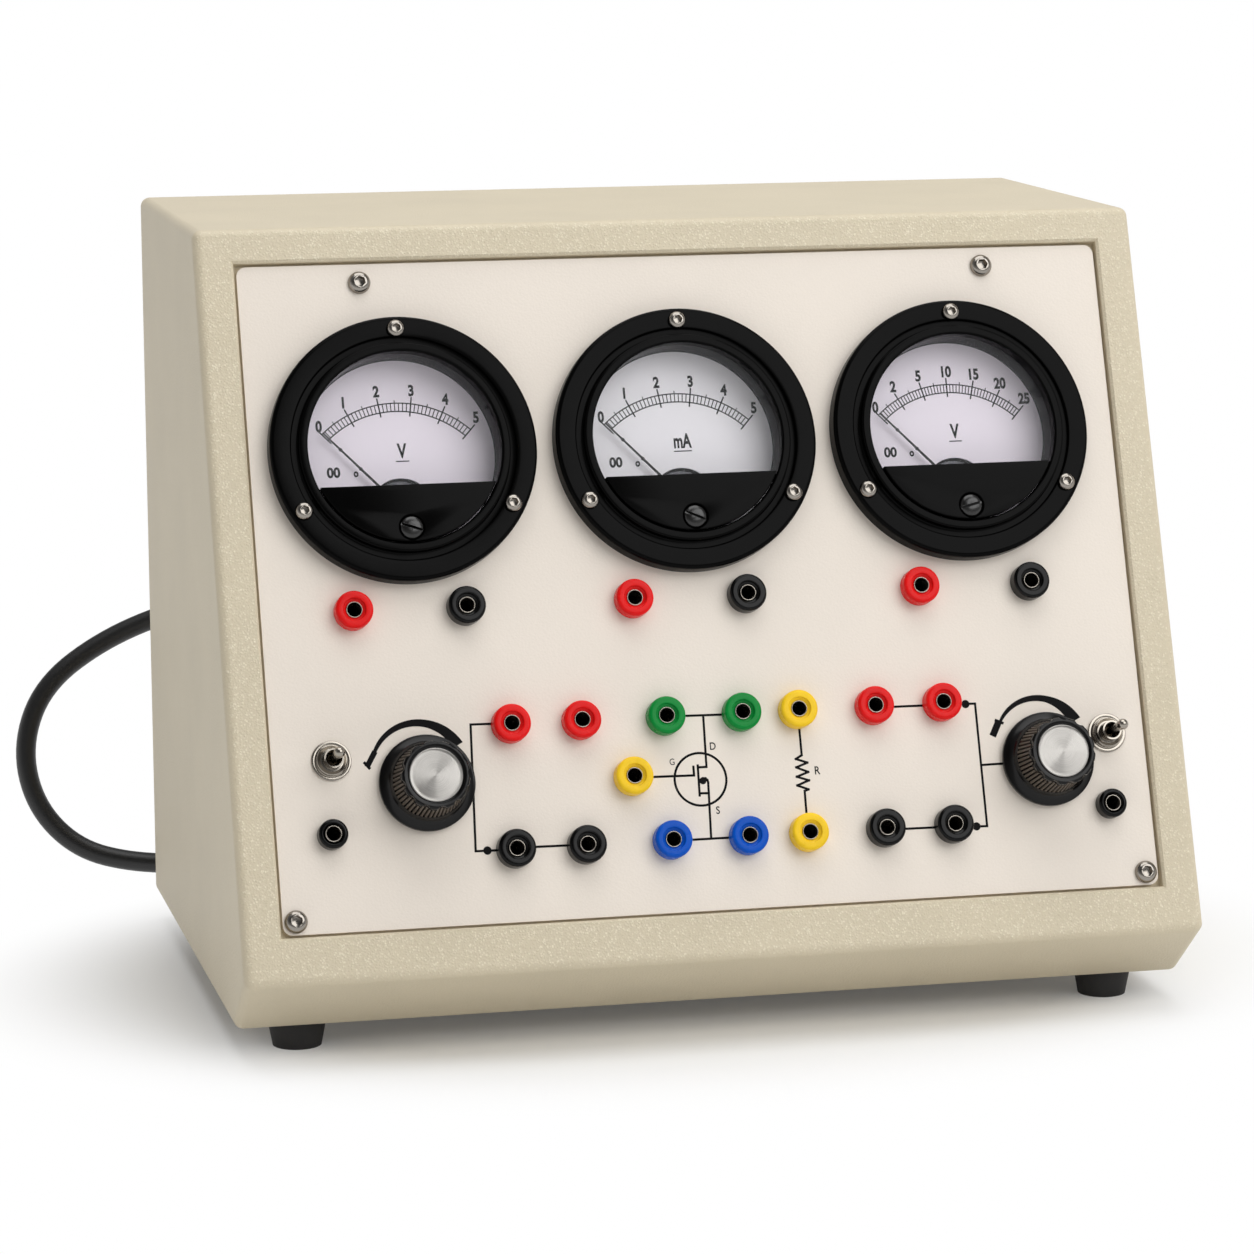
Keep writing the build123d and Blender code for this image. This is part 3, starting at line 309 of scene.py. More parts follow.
case_paint = pebbled("case_paint", linear(213, 201, 175), 0.6, 0.5, 0.5, 0.035)
panel_paint = pebbled("panel_paint", linear(238, 228, 216), 0.7, 0.45, 0.16, 0.02)
foot_rubber = pebbled("foot_rubber", linear(38, 37, 37), 0.6, 0.75, 0.3, 0.1)
black_rubber = pebbled("black_rubber", linear(40, 40, 41), 0.5, 0.6, 0.25, 0.1)
print("grained:", case_paint.name, panel_paint.name, foot_rubber.name, black_rubber.name)

# %% [markdown]
# The frame round the panel is grained more coarsely than the sides, and each pebble's top is painted near-white as a
# painted highlight, a bright speck. The face could be a separate object, but it is one steel sheet. So the paint
# itself asks how far out along the panel's normal a point lies: only the frame's front face lies at the very front.

# %% Coarse pebbles and painted highlights on the frame
slope_length, panel_recess = 231.5, 1.8
lip_corner = Vector((0, -104.5, 28))
across = Vector((1, 0, 0))
panel_up = Vector((0, 82, math.sqrt(slope_length**2 - 82**2))) / slope_length
panel_out = across.cross(panel_up)
front_distance = lip_corner.dot(panel_out) * mm

paint_nodes = case_paint.node_tree.nodes
smooth_bump = next(node for node in paint_nodes if node.type == "BUMP")
smooth_tint = next(node for node in paint_nodes if node.type == "VALTORGB")
paint_shader = paint_nodes["Principled BSDF"]
paint_place = object_place(case_paint)
outward = add_node(case_paint, "ShaderNodeVectorMath", operation="DOT_PRODUCT")
outward.inputs[1].default_value = panel_out
front = remap(case_paint, front_distance - 0.0009, front_distance - 0.0002)
pebbles = add_node(case_paint, "ShaderNodeTexVoronoi", Scale=1250.0, Randomness=0.95)
crowns = remap(case_paint, 0.05, 0.62, 1.0, 0.0)
patches = add_node(case_paint, "ShaderNodeTexNoise", Scale=760.0, Detail=3.0)
painted_glint_patches = remap(case_paint, 0.40, 0.62)
front_crowns = combine(case_paint, "MULTIPLY", crowns.outputs["Result"], front.outputs["Result"])
painted_highlight_specks = combine(case_paint, "MULTIPLY", front_crowns, painted_glint_patches.outputs["Result"])
coarse_bump = add_node(case_paint, "ShaderNodeBump", Strength=0.5, Distance=0.0002)
# The crowns of the front pebbles are mixed towards near-white in the base colour: a painted highlight.
painted_highlight_mix = add_node(case_paint, "ShaderNodeMix", data_type="RGBA")
painted_highlight_mix.inputs[7].default_value = (*linear(238, 229, 206), 1)
wire(
    case_paint,
    paint_place, outward.inputs[0], outward.outputs["Value"], front.inputs["Value"],
    paint_place, pebbles.inputs["Vector"], paint_place, patches.inputs["Vector"],
    pebbles.outputs["Distance"], crowns.inputs["Value"], patches.outputs["Fac"], painted_glint_patches.inputs["Value"],
    front_crowns, coarse_bump.inputs["Height"],
    smooth_bump.outputs["Normal"], coarse_bump.inputs["Normal"],
    coarse_bump.outputs["Normal"], paint_shader.inputs["Normal"],
    painted_highlight_specks, painted_highlight_mix.inputs[0], smooth_tint.outputs["Color"], painted_highlight_mix.inputs[6],
    painted_highlight_mix.outputs[2], paint_shader.inputs["Base Color"],
)
print("the frame's front face lies", round(front_distance * 1000, 1), "mm along the normal")

# %% [markdown]
# Most of the small parts are moulded plastic or plated metal. Polished plastic isn't perfectly flat: a faint
# long ripple from the mould shows in its highlights, and handling leaves the gloss uneven. Noise moves
# the roughness a little and makes that ripple.

# %% Moulded and metal finishes
def polished(name, color, roughness, gloss=0.5, **sockets):
    material = new_material(name, color, roughness, Specular_IOR_Level=gloss, **sockets)
    shader = material.node_tree.nodes["Principled BSDF"]
    place = object_place(material)
    wear = add_node(material, "ShaderNodeTexNoise", Scale=140.0, Detail=5.0)
    band = remap(material, 0, 1, roughness * 0.75, roughness * 1.3, "LINEAR")
    wire(material, place, wear.inputs["Vector"], wear.outputs["Fac"], band.inputs["Value"])
    wire(material, band.outputs[0], shader.inputs["Roughness"])
    tint(material, wear.outputs["Fac"], tuple(v * 0.93 for v in color), tuple(min(1, v * 1.05) for v in color))
    mould_ripple = 0.05
    grain(material, wear.outputs["Fac"], mould_ripple)
    return material


meter_plastic = polished("meter_plastic", linear(4, 4, 4), 0.18, gloss=0.05)
knob_plastic = polished("knob_plastic", linear(6, 5, 5), 0.2, gloss=0.26)
screw_plastic = polished("screw_plastic", linear(16, 15, 14), 0.25, gloss=0.6)
sockets = {
    "red": polished("red_plastic", linear(228, 22, 22), 0.26, gloss=0.14),
    "black": polished("black_plastic", linear(4, 4, 4), 0.16, gloss=0.18),
    "green": polished("green_plastic", linear(8, 136, 56), 0.26, gloss=0.14),
    "yellow": polished("yellow_plastic", linear(250, 206, 40), 0.28, gloss=0.14),
    "blue": polished("blue_plastic", linear(2, 82, 190), 0.26, gloss=0.14),
}
nickel = polished("socket_nickel", (0.47, 0.43, 0.375), 0.26, Metallic=1.0)
steel = polished("screw_steel", (0.31, 0.285, 0.255), 0.2, Metallic=1.0)
chrome = polished("switch_chrome", (0.35, 0.32, 0.28), 0.16, Metallic=1.0)
brass = polished("pin_brass", (0.80, 0.62, 0.34), 0.22, Metallic=1.0)
iron = polished("movement_iron", (0.09, 0.09, 0.10), 0.45, Metallic=1.0)
grip_plastic = polished("grip_plastic", linear(58, 52, 47), 0.42, gloss=0.3)
cord_rubber = pebbled("cord_rubber", linear(24, 24, 25), 1.2, 0.42, 0.08, 0.08)
pointer_black = polished("pointer_black", linear(12, 12, 12), 0.5, gloss=0.2)
dial_lilac = pebbled("dial_lilac", linear(252, 243, 254), 0.35, 0.6, 0.04, 0.012)
dial_white = pebbled("dial_white", linear(252, 249, 254), 0.35, 0.6, 0.04, 0.012)
board_green = pebbled("board_laminate", (0.02, 0.13, 0.05), 0.5, 0.45, 0.1, 0.1)
part_plastic = polished("board_part_plastic", (0.03, 0.03, 0.04), 0.4)
winding_tape = polished("winding_tape", (0.62, 0.40, 0.07), 0.4)
window_glass = new_material("window_glass", (0.95, 0.97, 1.0), 0.03, Alpha=0.03, IOR=1.5)
shine = window_glass.node_tree.nodes["Principled BSDF"]
smear = add_node(window_glass, "ShaderNodeTexNoise", Scale=60.0, Detail=3.0)
smear_band = remap(window_glass, 0, 1, 0.02, 0.07, "LINEAR")
wire(
    window_glass,
    object_place(window_glass), smear.inputs["Vector"], smear.outputs["Fac"], smear_band.inputs["Value"],
    smear_band.outputs[0], shine.inputs["Roughness"],
)
print("finishes so far:", len(bpy.data.materials))

# %% [markdown]
# A CAD node keeps its mesh and takes a finish through its material slots. The dictionary reads like a parts list.

# %% Finishes on the CAD nodes
finish_of = {
    "case": case_paint, "rear_cover": case_paint, "front_panel": panel_paint, "feet": foot_rubber,
    "rear_cover_screws": steel, "foot_screws": steel, "panel_screws": steel, "meter_screws": steel,
    "meter_nuts": steel, "meter_cans": meter_plastic, "meter_movements": iron, "socket_sleeves": nickel,
    "socket_nuts": sockets["black"], "potentiometer_nuts": nickel, "toggle_nuts": chrome,
    "transformer_core": iron, "transformer_winding": winding_tape, "circuit_board": board_green,
    "board_parts": part_plastic, "board_spacers": brass, "cord_gland": black_rubber, "plug_body": black_rubber,
    "plug_pins": brass, "cord_lead": cord_rubber, "cord_coil": cord_rubber,
}
for color, finish in sockets.items():
    finish_of[f"{color}_socket_caps"] = finish
control_finishes = {
    "knob": knob_plastic, "knob_cap": steel, "pot_shaft": brass, "potentiometer": steel,
    "toggle_switch": chrome, "toggle_lever": chrome,
}
meter_finishes = {
    "meter_flange": meter_plastic, "meter_cover": meter_plastic, "zero_screw": meter_plastic,
    "meter_window": window_glass, "meter_pointer": pointer_black, "meter_dial": dial_lilac,
}
for sides, finishes in ((("left", "right"), control_finishes), (("left", "centre", "right"), meter_finishes)):
    for side in sides:
        finish_of.update({f"{side}_{part}": finish for part, finish in finishes.items()})
finish_of["centre_meter_dial"] = dial_white
for name, node in nodes.items():
    node.data.materials.clear()
    node.data.materials.append(finish_of[name])
mains_lead.data.materials.append(cord_rubber)
print("finished", len(finish_of), "nodes")

# %% [markdown]
# Everything on the panel is placed by three numbers in millimetres: across, up the slope from its lower edge,
# and out from the panel's face. Turning those into room coordinates once keeps every later cell short.
# A piece is modelled upright round the origin, where it is easy to think about, and is then seated.

# %% Places on the sloping panel
def on_panel(x, rise, height=0.0, turn=0.0):
    place = lip_corner + x * across + rise * panel_up + (height - panel_recess) * panel_out
    axes = Matrix((across, panel_up, panel_out)).transposed().to_4x4()
    return Matrix.Translation(place * mm) @ axes @ Matrix.Rotation(math.radians(turn), 4, "Z")


def seat(piece, place):
    """Moves a piece from the origin to its place, and puts the place into its mesh."""
    select_only(piece)
    piece.matrix_world = place
    bpy.ops.object.transform_apply(location=True, rotation=True, scale=True)
    return piece


def copy_of(piece, name):
    twin = piece.copy()
    twin.data = piece.data.copy()
    twin.name = twin.data.name = name
    bpy.context.scene.collection.objects.link(twin)
    return twin


def for_side(original, side, part):
    """The left piece is the original, and the other sides get copies of it."""
    return original if side == "left" else copy_of(original, f"{side}_{part}")


def joined(name, pieces):
    select_only(*pieces)
    bpy.ops.object.join()
    return just_added(name)


def dress(piece, material, body, slot, *stands_for):
    """Gives a finished piece its material and its body, and hides the CAD parts it stands for. The slot is not used.
    """
    piece.data.materials.clear()
    piece.data.materials.append(material)
    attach(piece, body)
    if stands_for:
        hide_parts(*stands_for)


meters = {"left": (-90.4, 160.8), "centre": (-2.1, 160.8), "right": (86.2, 160.8)}
knobs = {"left": (-90.7, 58.3), "right": (104.7, 55.6)}
toggles = {"left": (-119.0, 66.7), "right": (125.1, 63.1)}
print("the panel faces", tuple(round(v, 3) for v in panel_out))

# %% [markdown]
# Half of this console is round: flanges, caps, knobs, nuts. On a lathe each would be turned from one profile,
# and the same works here: one vertex is extruded along the half section, and Spin sweeps it once round.
# The ring of doubles where the sweep closes is merged, and then the normals are made to agree.

# %% Turning a round piece
def edit_all():
    bpy.ops.object.mode_set(mode="EDIT")
    bpy.ops.mesh.select_all(action="SELECT")


def end_edit():
    """Makes all the normals agree, and goes back to object mode."""
    bpy.ops.mesh.select_all(action="SELECT")
    bpy.ops.mesh.normals_make_consistent(inside=False)
    bpy.ops.object.mode_set(mode="OBJECT")


def turned(name, outline, sides=96, sharp=32):
    select_only()
    bpy.ops.mesh.primitive_plane_add(size=0.001, location=(0, 0, 0))
    piece = just_added(name)
    edit_all()
    bpy.ops.mesh.merge(type="CENTER")
    bpy.ops.transform.translate(value=(outline[0][0] * mm, 0, outline[0][1] * mm))
    for (radius, height), (next_radius, next_height) in zip(outline, outline[1:]):
        step = ((next_radius - radius) * mm, 0, (next_height - height) * mm)
        bpy.ops.mesh.extrude_region_move(TRANSFORM_OT_translate={"value": step})
    bpy.ops.mesh.select_all(action="SELECT")
    bpy.ops.mesh.spin(steps=sides, angle=2 * math.pi, center=(0, 0, 0), axis=(0, 0, 1))
    bpy.ops.mesh.select_all(action="SELECT")
    bpy.ops.mesh.remove_doubles(threshold=0.000002)
    end_edit()
    select_only(piece)
    bpy.ops.object.shade_smooth_by_angle(angle=math.radians(sharp))
    return piece


def arc(centre, radius, start, end, steps=6):
    """Points along a rounded corner of an outline, angles in degrees."""
    turns = [math.radians(start + (end - start) * step / steps) for step in range(steps + 1)]
    return [(centre[0] + radius * math.cos(turn), centre[1] + radius * math.sin(turn)) for turn in turns]


def cut(piece, *cutters):
    """Takes cutters away from a piece with the Boolean modifier, and deletes them."""
    for cutter in cutters:
        modifier = piece.modifiers.new("cut", "BOOLEAN")
        modifier.operation, modifier.solver, modifier.object = "DIFFERENCE", "EXACT", cutter
        select_only(piece)
        bpy.ops.object.modifier_apply(modifier=modifier.name)
        bpy.data.objects.remove(cutter)


def soften(piece, width, segments=2, angle=30):
    """Rounds the edges that are sharper than an angle, then shades the rest smooth."""
    modifier = piece.modifiers.new("edges", "BEVEL")
    modifier.width, modifier.segments = width * mm, segments
    modifier.limit_method, modifier.angle_limit = "ANGLE", math.radians(angle)
    select_only(piece)
    bpy.ops.object.modifier_apply(modifier=modifier.name)
    bpy.ops.object.shade_smooth_by_angle(angle=math.radians(40))
    return piece


def bar(name, size, place=(0, 0, 0)):
    """A plain block used as a cutter or as the start of a piece, in mm."""
    select_only()
    bpy.ops.mesh.primitive_cube_add(size=1, location=[v * mm for v in place])
    block = just_added(name)
    block.scale = [v * mm for v in size]
    bpy.ops.object.transform_apply(location=True, rotation=True, scale=True)
    return block


def rod(name, radius, low, high, place=(0, 0), sides=64):
    """A plain cylinder along Z between two heights, in mm."""
    select_only()
    bpy.ops.mesh.primitive_cylinder_add(
        vertices=sides, radius=radius * mm, depth=(high - low) * mm,
        location=(place[0] * mm, place[1] * mm, (low + high) / 2 * mm),
    )
    cylinder = just_added(name)
    bpy.ops.object.transform_apply(location=True, rotation=True, scale=True)
    return cylinder


print("helpers: turned, arc, cut, soften, bar, rod")

# %% [markdown]
# Each meter's moulding is a broad black flange with a rolled rim, a shallow valley and a raised bezel round
# the window. The valley and the two rolled edges are what catch the light, so their corners get real radii.

# %% Meter flanges
flange_outline = (
    [(32.6, 0.0), (41.2, 0.0)]
    + arc((39.9, 4.7), 1.3, 0, 90)
    + [(36.2, 5.75)]
    + arc((35.2, 5.35), 0.4, 90, 180, 3)
    + [(34.6, 4.9), (34.1, 4.8), (33.0, 4.8)]
    + [(32.6, 5.1)]
    + arc((31.9, 6.9), 0.7, 0, 90)
    + [(31.0, 7.6)]
    + arc((30.5, 6.9), 0.7, 90, 180)
    + [(29.8, 4.0), (32.6, 4.0), (32.6, 0.0)]
)
flange = turned("left_flange", flange_outline, sides=160)
for side in ("centre", "right", "left"):
    piece = seat(for_side(flange, side, "flange"), on_panel(*meters[side]))
    dress(piece, meter_plastic, "trainer", "meter_plastic", f"{side}_meter_flange")
print("three flanges,", len(flange.data.vertices), "vertices each")

# %% [markdown]
# A black cover hides each movement below a straight edge. It is cut from one disc by Bisect, and its top edge is
# rolled by a bevel. The zero-adjust screw sits in a seat in it: a flat dome with a worn slot across.

# %% Covers and zero-adjust screws
cover_height, cover_edge, zero_drop = 8.2, 11.9, 25.2
cover = rod("left_cover", 29.5, 4.0, cover_height, sides=160)
edit_all()
bpy.ops.mesh.bisect(plane_co=(0, -cover_edge * mm, 0), plane_no=(0, 1, 0), use_fill=True, clear_outer=True)
bpy.ops.object.mode_set(mode="OBJECT")
cut(cover, rod("seat", 3.9, cover_height - 1.0, cover_height + 1, (0, -zero_drop)))
cut(cover, rod("shank_hole", 1.56, 3.0, cover_height, (0, -zero_drop)))
soften(cover, 0.45, 4, angle=50)
zero_screw = turned(
    "left_zero",
    [(0, 8.95), (1.4, 8.9), (2.4, 8.7), (3.05, 8.42), (3.45, 8.0), (3.6, 7.6), (3.6, 7.3)]
    + [(1.5, 7.3), (1.5, 4.2), (0, 4.2)],
    sides=64,
)
cut(zero_screw, bar("slot", (8, 0.8, 1.5), (0, 0, 8.75)))
soften(zero_screw, 0.12, 2)
zero_angles = {"left": -20, "centre": -24, "right": 14}
for side in ("centre", "right", "left"):
    x, rise = meters[side]
    piece = seat(for_side(cover, side, "cover"), on_panel(x, rise))
    dress(piece, meter_plastic, "trainer", "meter_plastic", f"{side}_meter_cover")
    piece = seat(for_side(zero_screw, side, "zero"), on_panel(x, rise - zero_drop, turn=zero_angles[side]))
    dress(piece, screw_plastic, f"{side}_zero_adjuster", "meter_plastic", f"{side}_zero_screw")
print("three covers and their screws")

# %% [markdown]
# Thirteen bright button-head screws hold the meters and the panel. One is turned with a high dome, and its hexagon
# socket is cut with a six-sided rod. The others are copies, each turned by a different amount, as hands leave them.

# %% Button-head screws
def button_screw(name, head, height, socket_size):
    flat_share, rim_share = 0.42, 0.16
    outline = [(0, height), (head * flat_share, height)]
    for step in range(1, 8):
        angle = math.radians(90 - 90 * step / 7)
        reach = flat_share + (1 - flat_share) * math.cos(angle)
        outline.append((head * reach, height * (rim_share + (1 - rim_share) * math.sin(angle))))
    outline += [(head, 0), (head * 0.5, 0), (head * 0.5, -2), (0, -2)]
    screw = turned(name, outline, sides=48)
    cut(screw, rod("hexagon", socket_size, height * 0.05, height + 1, sides=6))
    return soften(screw, 0.1, 2, angle=40)


screw_circle, flange_face = 37.1, 6.0
small_screw = button_screw("small_screw", 2.75, 1.9, 1.35)
large_screw = button_screw("large_screw", 3.5, 2.3, 1.7)
meter_heads = []
for index, (x, rise) in enumerate(meters.values()):
    for corner in range(3):
        angle = math.radians(90 + 120 * corner)
        piece = copy_of(small_screw, f"head_{index}_{corner}")
        place = (x + screw_circle * math.cos(angle), rise + screw_circle * math.sin(angle), flange_face)
        meter_heads.append(seat(piece, on_panel(*place, turn=37 * index + 71 * corner)))
dress(joined("meter_screw_heads", meter_heads), steel, "trainer", "screw_steel", "meter_screws")
panel_heads = []
for index, (x, rise) in enumerate([(-99.5, 214.2), (99.5, 214.2), (-133.1, 18.9), (133.1, 18.9)]):
    piece = copy_of(large_screw, f"panel_head_{index}")
    panel_heads.append(seat(piece, on_panel(x, rise, 0, turn=23 * index + 9)))
dress(joined("panel_screw_heads", panel_heads), steel, "trainer", "screw_steel", "panel_screws")
bpy.data.objects.remove(small_screw)
bpy.data.objects.remove(large_screw)
print(len(meter_heads), "meter screws and", len(panel_heads), "panel screws")

# %% [markdown]
# A socket is a glossy coloured cap with a rolled outer edge, a faint step and a dish that falls to a nickel sleeve.
# One cap and one sleeve are turned and copied to all their places, and the copies of a colour are joined.

# %% Sockets
def socket_cap(name, radius, height, ring):
    outline = (
        [(2.55, -1.0), (radius - 0.25, -1.0), (radius - 0.25, 0.0), (radius, 0.15)]
        + arc((radius - 1.0, height - 1.0), 1.0, 0, 90, 7)
        + arc((ring + 0.45, height - 0.3), 0.3, 90, 180, 5)
        + [(ring + 0.05, height - 0.75), (ring - 0.25, height - 1.0), (2.55, height - 1.2), (2.55, -1.0)]
    )
    return turned(name, outline, sides=72)


cap = socket_cap("cap", 5.8, 5.0, 3.3)
small_cap = socket_cap("small_cap", 4.5, 4.6, 3.0)
sleeve = turned(
    "sleeve",
    [(2.1, -14.5), (2.5, -14.5), (2.5, 4.05)] + arc((2.35, 4.05), 0.15, 0, 180, 6) + [(2.1, 3.6), (2.1, -14.5)],
    sides=64,
)
meter_row, high_row, low_row = 111.8, 75.0, 36.9
socket_spots = {
    "red": [(x, meter_row) for x in (-109.2, -22.4, 68.8)] + [(x, high_row) for x in (-63.7, -41.9, 50.5, 72.3)],
    "black": [(x, meter_row) for x in (-74.6, 13.3, 104.5)] + [(x, low_row) for x in (-65.2, -43.4, 50.5, 72.3)],
    "green": [(-15.6, high_row), (8.3, high_row)],
    "yellow": [(-27.2, 57.0), (26.1, high_row), (26.1, low_row)],
    "blue": [(-16.8, low_row), (7.1, low_row)],
}
small_spots = [(-120.5, 44.2), (123.6, 40.6)]
sleeves = []
for color, spots in socket_spots.items():
    caps = [seat(copy_of(cap, f"{color}_{index}"), on_panel(*spot)) for index, spot in enumerate(spots)]
    if color == "black":
        for index, spot in enumerate(small_spots):
            caps.append(seat(copy_of(small_cap, f"small_{index}"), on_panel(*spot)))
    whole = joined(f"{color}_caps", caps)
    dress(whole, sockets[color], "trainer", f"{color}_plastic", f"{color}_socket_caps")
all_spots = [spot for spots in socket_spots.values() for spot in spots] + small_spots
for index, spot in enumerate(all_spots):
    sleeves.append(seat(copy_of(sleeve, f"sleeve_{index}"), on_panel(*spot)))
dress(joined("nickel_sleeves", sleeves), nickel, "trainer", "socket_nickel", "socket_sleeves")
for start in (cap, small_cap, sleeve):
    bpy.data.objects.remove(start)
print(len(all_spots), "sockets")

# %% [markdown]
# The knobs are black mouldings in three steps: a bell-shaped skirt, a fluted grip that narrows upwards, and
# a scalloped rim round a spun aluminium disc. The flutes are every fourth vertex of a ring pulled in before the ring
# is extruded. The ridges have a brown-grey tone, and the grooves are painted near-black as painted shade in the
# flutes, so every vertex carries a groove value that the plastic reads. The scallops are bites taken by a ring of
# rods, because a boolean leaves their edges crisp.

# %% Knobs
def fluted_grip(name, flutes, low, high, low_radius, high_radius, depth):
    select_only()
    bpy.ops.mesh.primitive_circle_add(vertices=flutes * 4, radius=low_radius * mm, location=(0, 0, low * mm))
    grip = just_added(name)
    bpy.ops.object.transform_apply(location=True)
    for vertex in grip.data.vertices:
        if vertex.index % 4 == 0:
            vertex.co.xy *= 1 - depth / low_radius
    edit_all()
    steps = 3
    rise = (high - low) / steps * mm
    radii = [low_radius + (high_radius - low_radius) * step / steps for step in range(steps + 1)]
    for step in range(steps):
        bpy.ops.mesh.extrude_region_move(TRANSFORM_OT_translate={"value": (0, 0, rise)})
        narrow = radii[step + 1] / radii[step]
        bpy.ops.transform.resize(value=(narrow, narrow, 1), center_override=(0, 0, low * mm + rise * (step + 1)))
    bpy.ops.mesh.edge_face_add()
    end_edit()
    bpy.ops.object.shade_smooth_by_angle(angle=math.radians(25))
    groove = grip.data.attributes.new("groove", "FLOAT", "POINT")
    for vertex, mark in zip(grip.data.vertices, groove.data):
        share = (vertex.co.z / mm - low) / (high - low)
        full_radius = low_radius + (high_radius - low_radius) * share
        mark.value = min(1, max(0, (full_radius - vertex.co.xy.length / mm) / (depth * 0.6)))
    return grip


skirt = turned(
    "skirt",
    [(3.2, 0.8), (14.2, 0.8), (14.6, 1.0), (14.7, 1.4), (14.7, 2.4)]
    + arc((14.3, 2.4), 0.4, 0, 90, 4)
    + [(13.9, 2.95), (13.0, 3.35), (12.2, 3.95), (11.6, 4.75), (11.25, 5.5), (11.1, 6.0)]
    + [(10.2, 6.0), (3.2, 6.0), (3.2, 0.8)],
    sides=128,
)
grip = fluted_grip("left_knob_grip", 52, 5.4, 15.0, 11.2, 9.7, 0.75)
# The grooves are painted near-black against brown-grey ridges: painted shade in the flutes.
groove_painted_shade = add_node(grip_plastic, "ShaderNodeAttribute", attribute_name="groove")
tint(grip_plastic, groove_painted_shade.outputs["Fac"], linear(84, 75, 66), linear(20, 17, 15), 0.05, 0.75)
rim = turned(
    "rim",
    [(3.2, 14.6), (9.9, 14.6)] + arc((9.6, 15.5), 0.85, -60, 0, 4) + arc((9.6, 17.0), 0.85, 0, 90, 5)
    + [(8.6, 17.8), (8.3, 17.6), (8.2, 17.0), (3.2, 17.0), (3.2, 14.6)],
    sides=168,
)
scallops, bite_radius, bite_circle = 13, 2.0, 11.65
bites = []
for bite in range(scallops):
    angle = 2 * math.pi * bite / scallops
    place = (bite_circle * math.cos(angle), bite_circle * math.sin(angle))
    bites.append(rod(f"bite_{bite}", bite_radius, 13.5, 19, place, sides=24))
cut(rim, *bites)
soften(rim, 0.14, 2, angle=45)
knob = joined("left_knob_body", [skirt, rim])
disc_outline = [(0, 17.95)] + [(0.5 * step, 17.95 - 0.0006 * step**2) for step in range(1, 16)]
disc_outline += [(7.85, 17.9), (8.08, 17.75), (8.15, 17.5), (8.15, 17.0), (0, 17.0)]
disc = turned("left_disc", disc_outline, sides=180, sharp=25)
print("knob", len(knob.data.vertices), "vertices, disc", len(disc.data.vertices))

# %% [markdown]
# A spun face shows bright fans that turn with the light, because the tool leaves rings finer than the eye can see.
# Rings could be bumped one by one. Anisotropic gloss does it better, if the shader knows which way the rings run:
# the disc gets a map whose U is the angle and whose V is the radius, and a Tangent node reads it.

# %% Spun aluminium
def polar_map(piece):
    layer = piece.data.uv_layers.new(name="rings")
    for face in piece.data.polygons:
        middle = math.atan2(face.center.y, face.center.x)
        for loop in face.loop_indices:
            place = piece.data.vertices[piece.data.loops[loop].vertex_index].co
            radius = math.hypot(place.x, place.y)
            angle = math.atan2(place.y, place.x) if radius > 1e-5 else middle
            while angle - middle > math.pi:
                angle -= 2 * math.pi
            while middle - angle > math.pi:
                angle += 2 * math.pi
            layer.data[loop].uv = (angle / (2 * math.pi), radius * 100)


polar_map(disc)
spun = new_material("spun_aluminium", (0.47, 0.455, 0.43), 0.38, Metallic=1.0, Anisotropic=1.0)
rings = add_node(spun, "ShaderNodeTangent", direction_type="UV_MAP", uv_map="rings")
spun_shader = spun.node_tree.nodes["Principled BSDF"]
wire(spun, rings.outputs["Tangent"], spun_shader.inputs["Tangent"])
ring_place = add_node(spun, "ShaderNodeUVMap", uv_map="rings")
ring_stretch = add_node(spun, "ShaderNodeMapping", Scale=(2.0, 260.0, 1.0))
ring_noise = add_node(spun, "ShaderNodeTexNoise", Scale=1.0, Detail=4.0)
wire(spun, ring_place.outputs["UV"], ring_stretch.inputs["Vector"])
wire(spun, ring_stretch.outputs["Vector"], ring_noise.inputs["Vector"])
tint(spun, ring_noise.outputs["Fac"], (0.36, 0.345, 0.325), (0.58, 0.56, 0.53), 0.35, 0.65)
grain(spun, ring_noise.outputs["Fac"], 0.06, 0.00005)
for side, (x, rise) in reversed(knobs.items()):
    body, ribs, face = (
        seat(for_side(original, side, part), on_panel(x, rise))
        for original, part in ((knob, "knob_body"), (grip, "knob_grip"), (disc, "disc"))
    )
    dress(body, knob_plastic, f"{side}_control", "knob_plastic", f"{side}_knob")
    dress(ribs, grip_plastic, f"{side}_control", "knob_plastic")
    dress(face, spun, f"{side}_control", "spun_aluminium", f"{side}_knob_cap")
print("two knobs")

# %% [markdown]
# Each toggle switch shows a plated washer, a dress nut with a rolled lip, a dark mouth, and a tapered lever that
# ends in a ball. All are turned. The lever stands at the middle of its throw, and it is attached to a body of its own.

# %% Toggle switches
nut = turned(
    "nut",
    [(3.05, 0.0), (6.0, 0.0)] + arc((5.85, 0.45), 0.25, -60, 90, 5) + [(5.3, 0.72), (4.9, 0.62), (4.75, 0.7)]
    + [(4.7, 1.7)] + arc((4.3, 1.9), 0.4, 0, 90, 5) + [(3.9, 2.1), (3.5, 1.9), (3.05, 1.95), (3.05, 0.0)],
    sides=96,
)
nuts = [seat(copy_of(nut, f"{side}_nut"), on_panel(*toggles[side])) for side in toggles]
bpy.data.objects.remove(nut)
dress(joined("dress_nuts", nuts), chrome, "trainer", "switch_chrome", "toggle_nuts")
lever = turned(
    "left_lever",
    [(0, -0.3)] + arc((0, 1.6), 1.9, -80, 55, 8)
    + [(1.0, 3.6), (1.05, 6.0), (1.35, 12.0), (1.45, 14.6)]
    + [(1.42, 15.1)] + arc((0, 16.3), 1.7, -45, 90, 12),
    sides=64, sharp=40,
)
for side in ("right", "left"):
    piece = seat(for_side(lever, side, "lever"), on_panel(*toggles[side]))
    dress(piece, chrome, f"{side}_lever", "switch_chrome", f"{side}_toggle_lever")
print("two levers and their nuts")

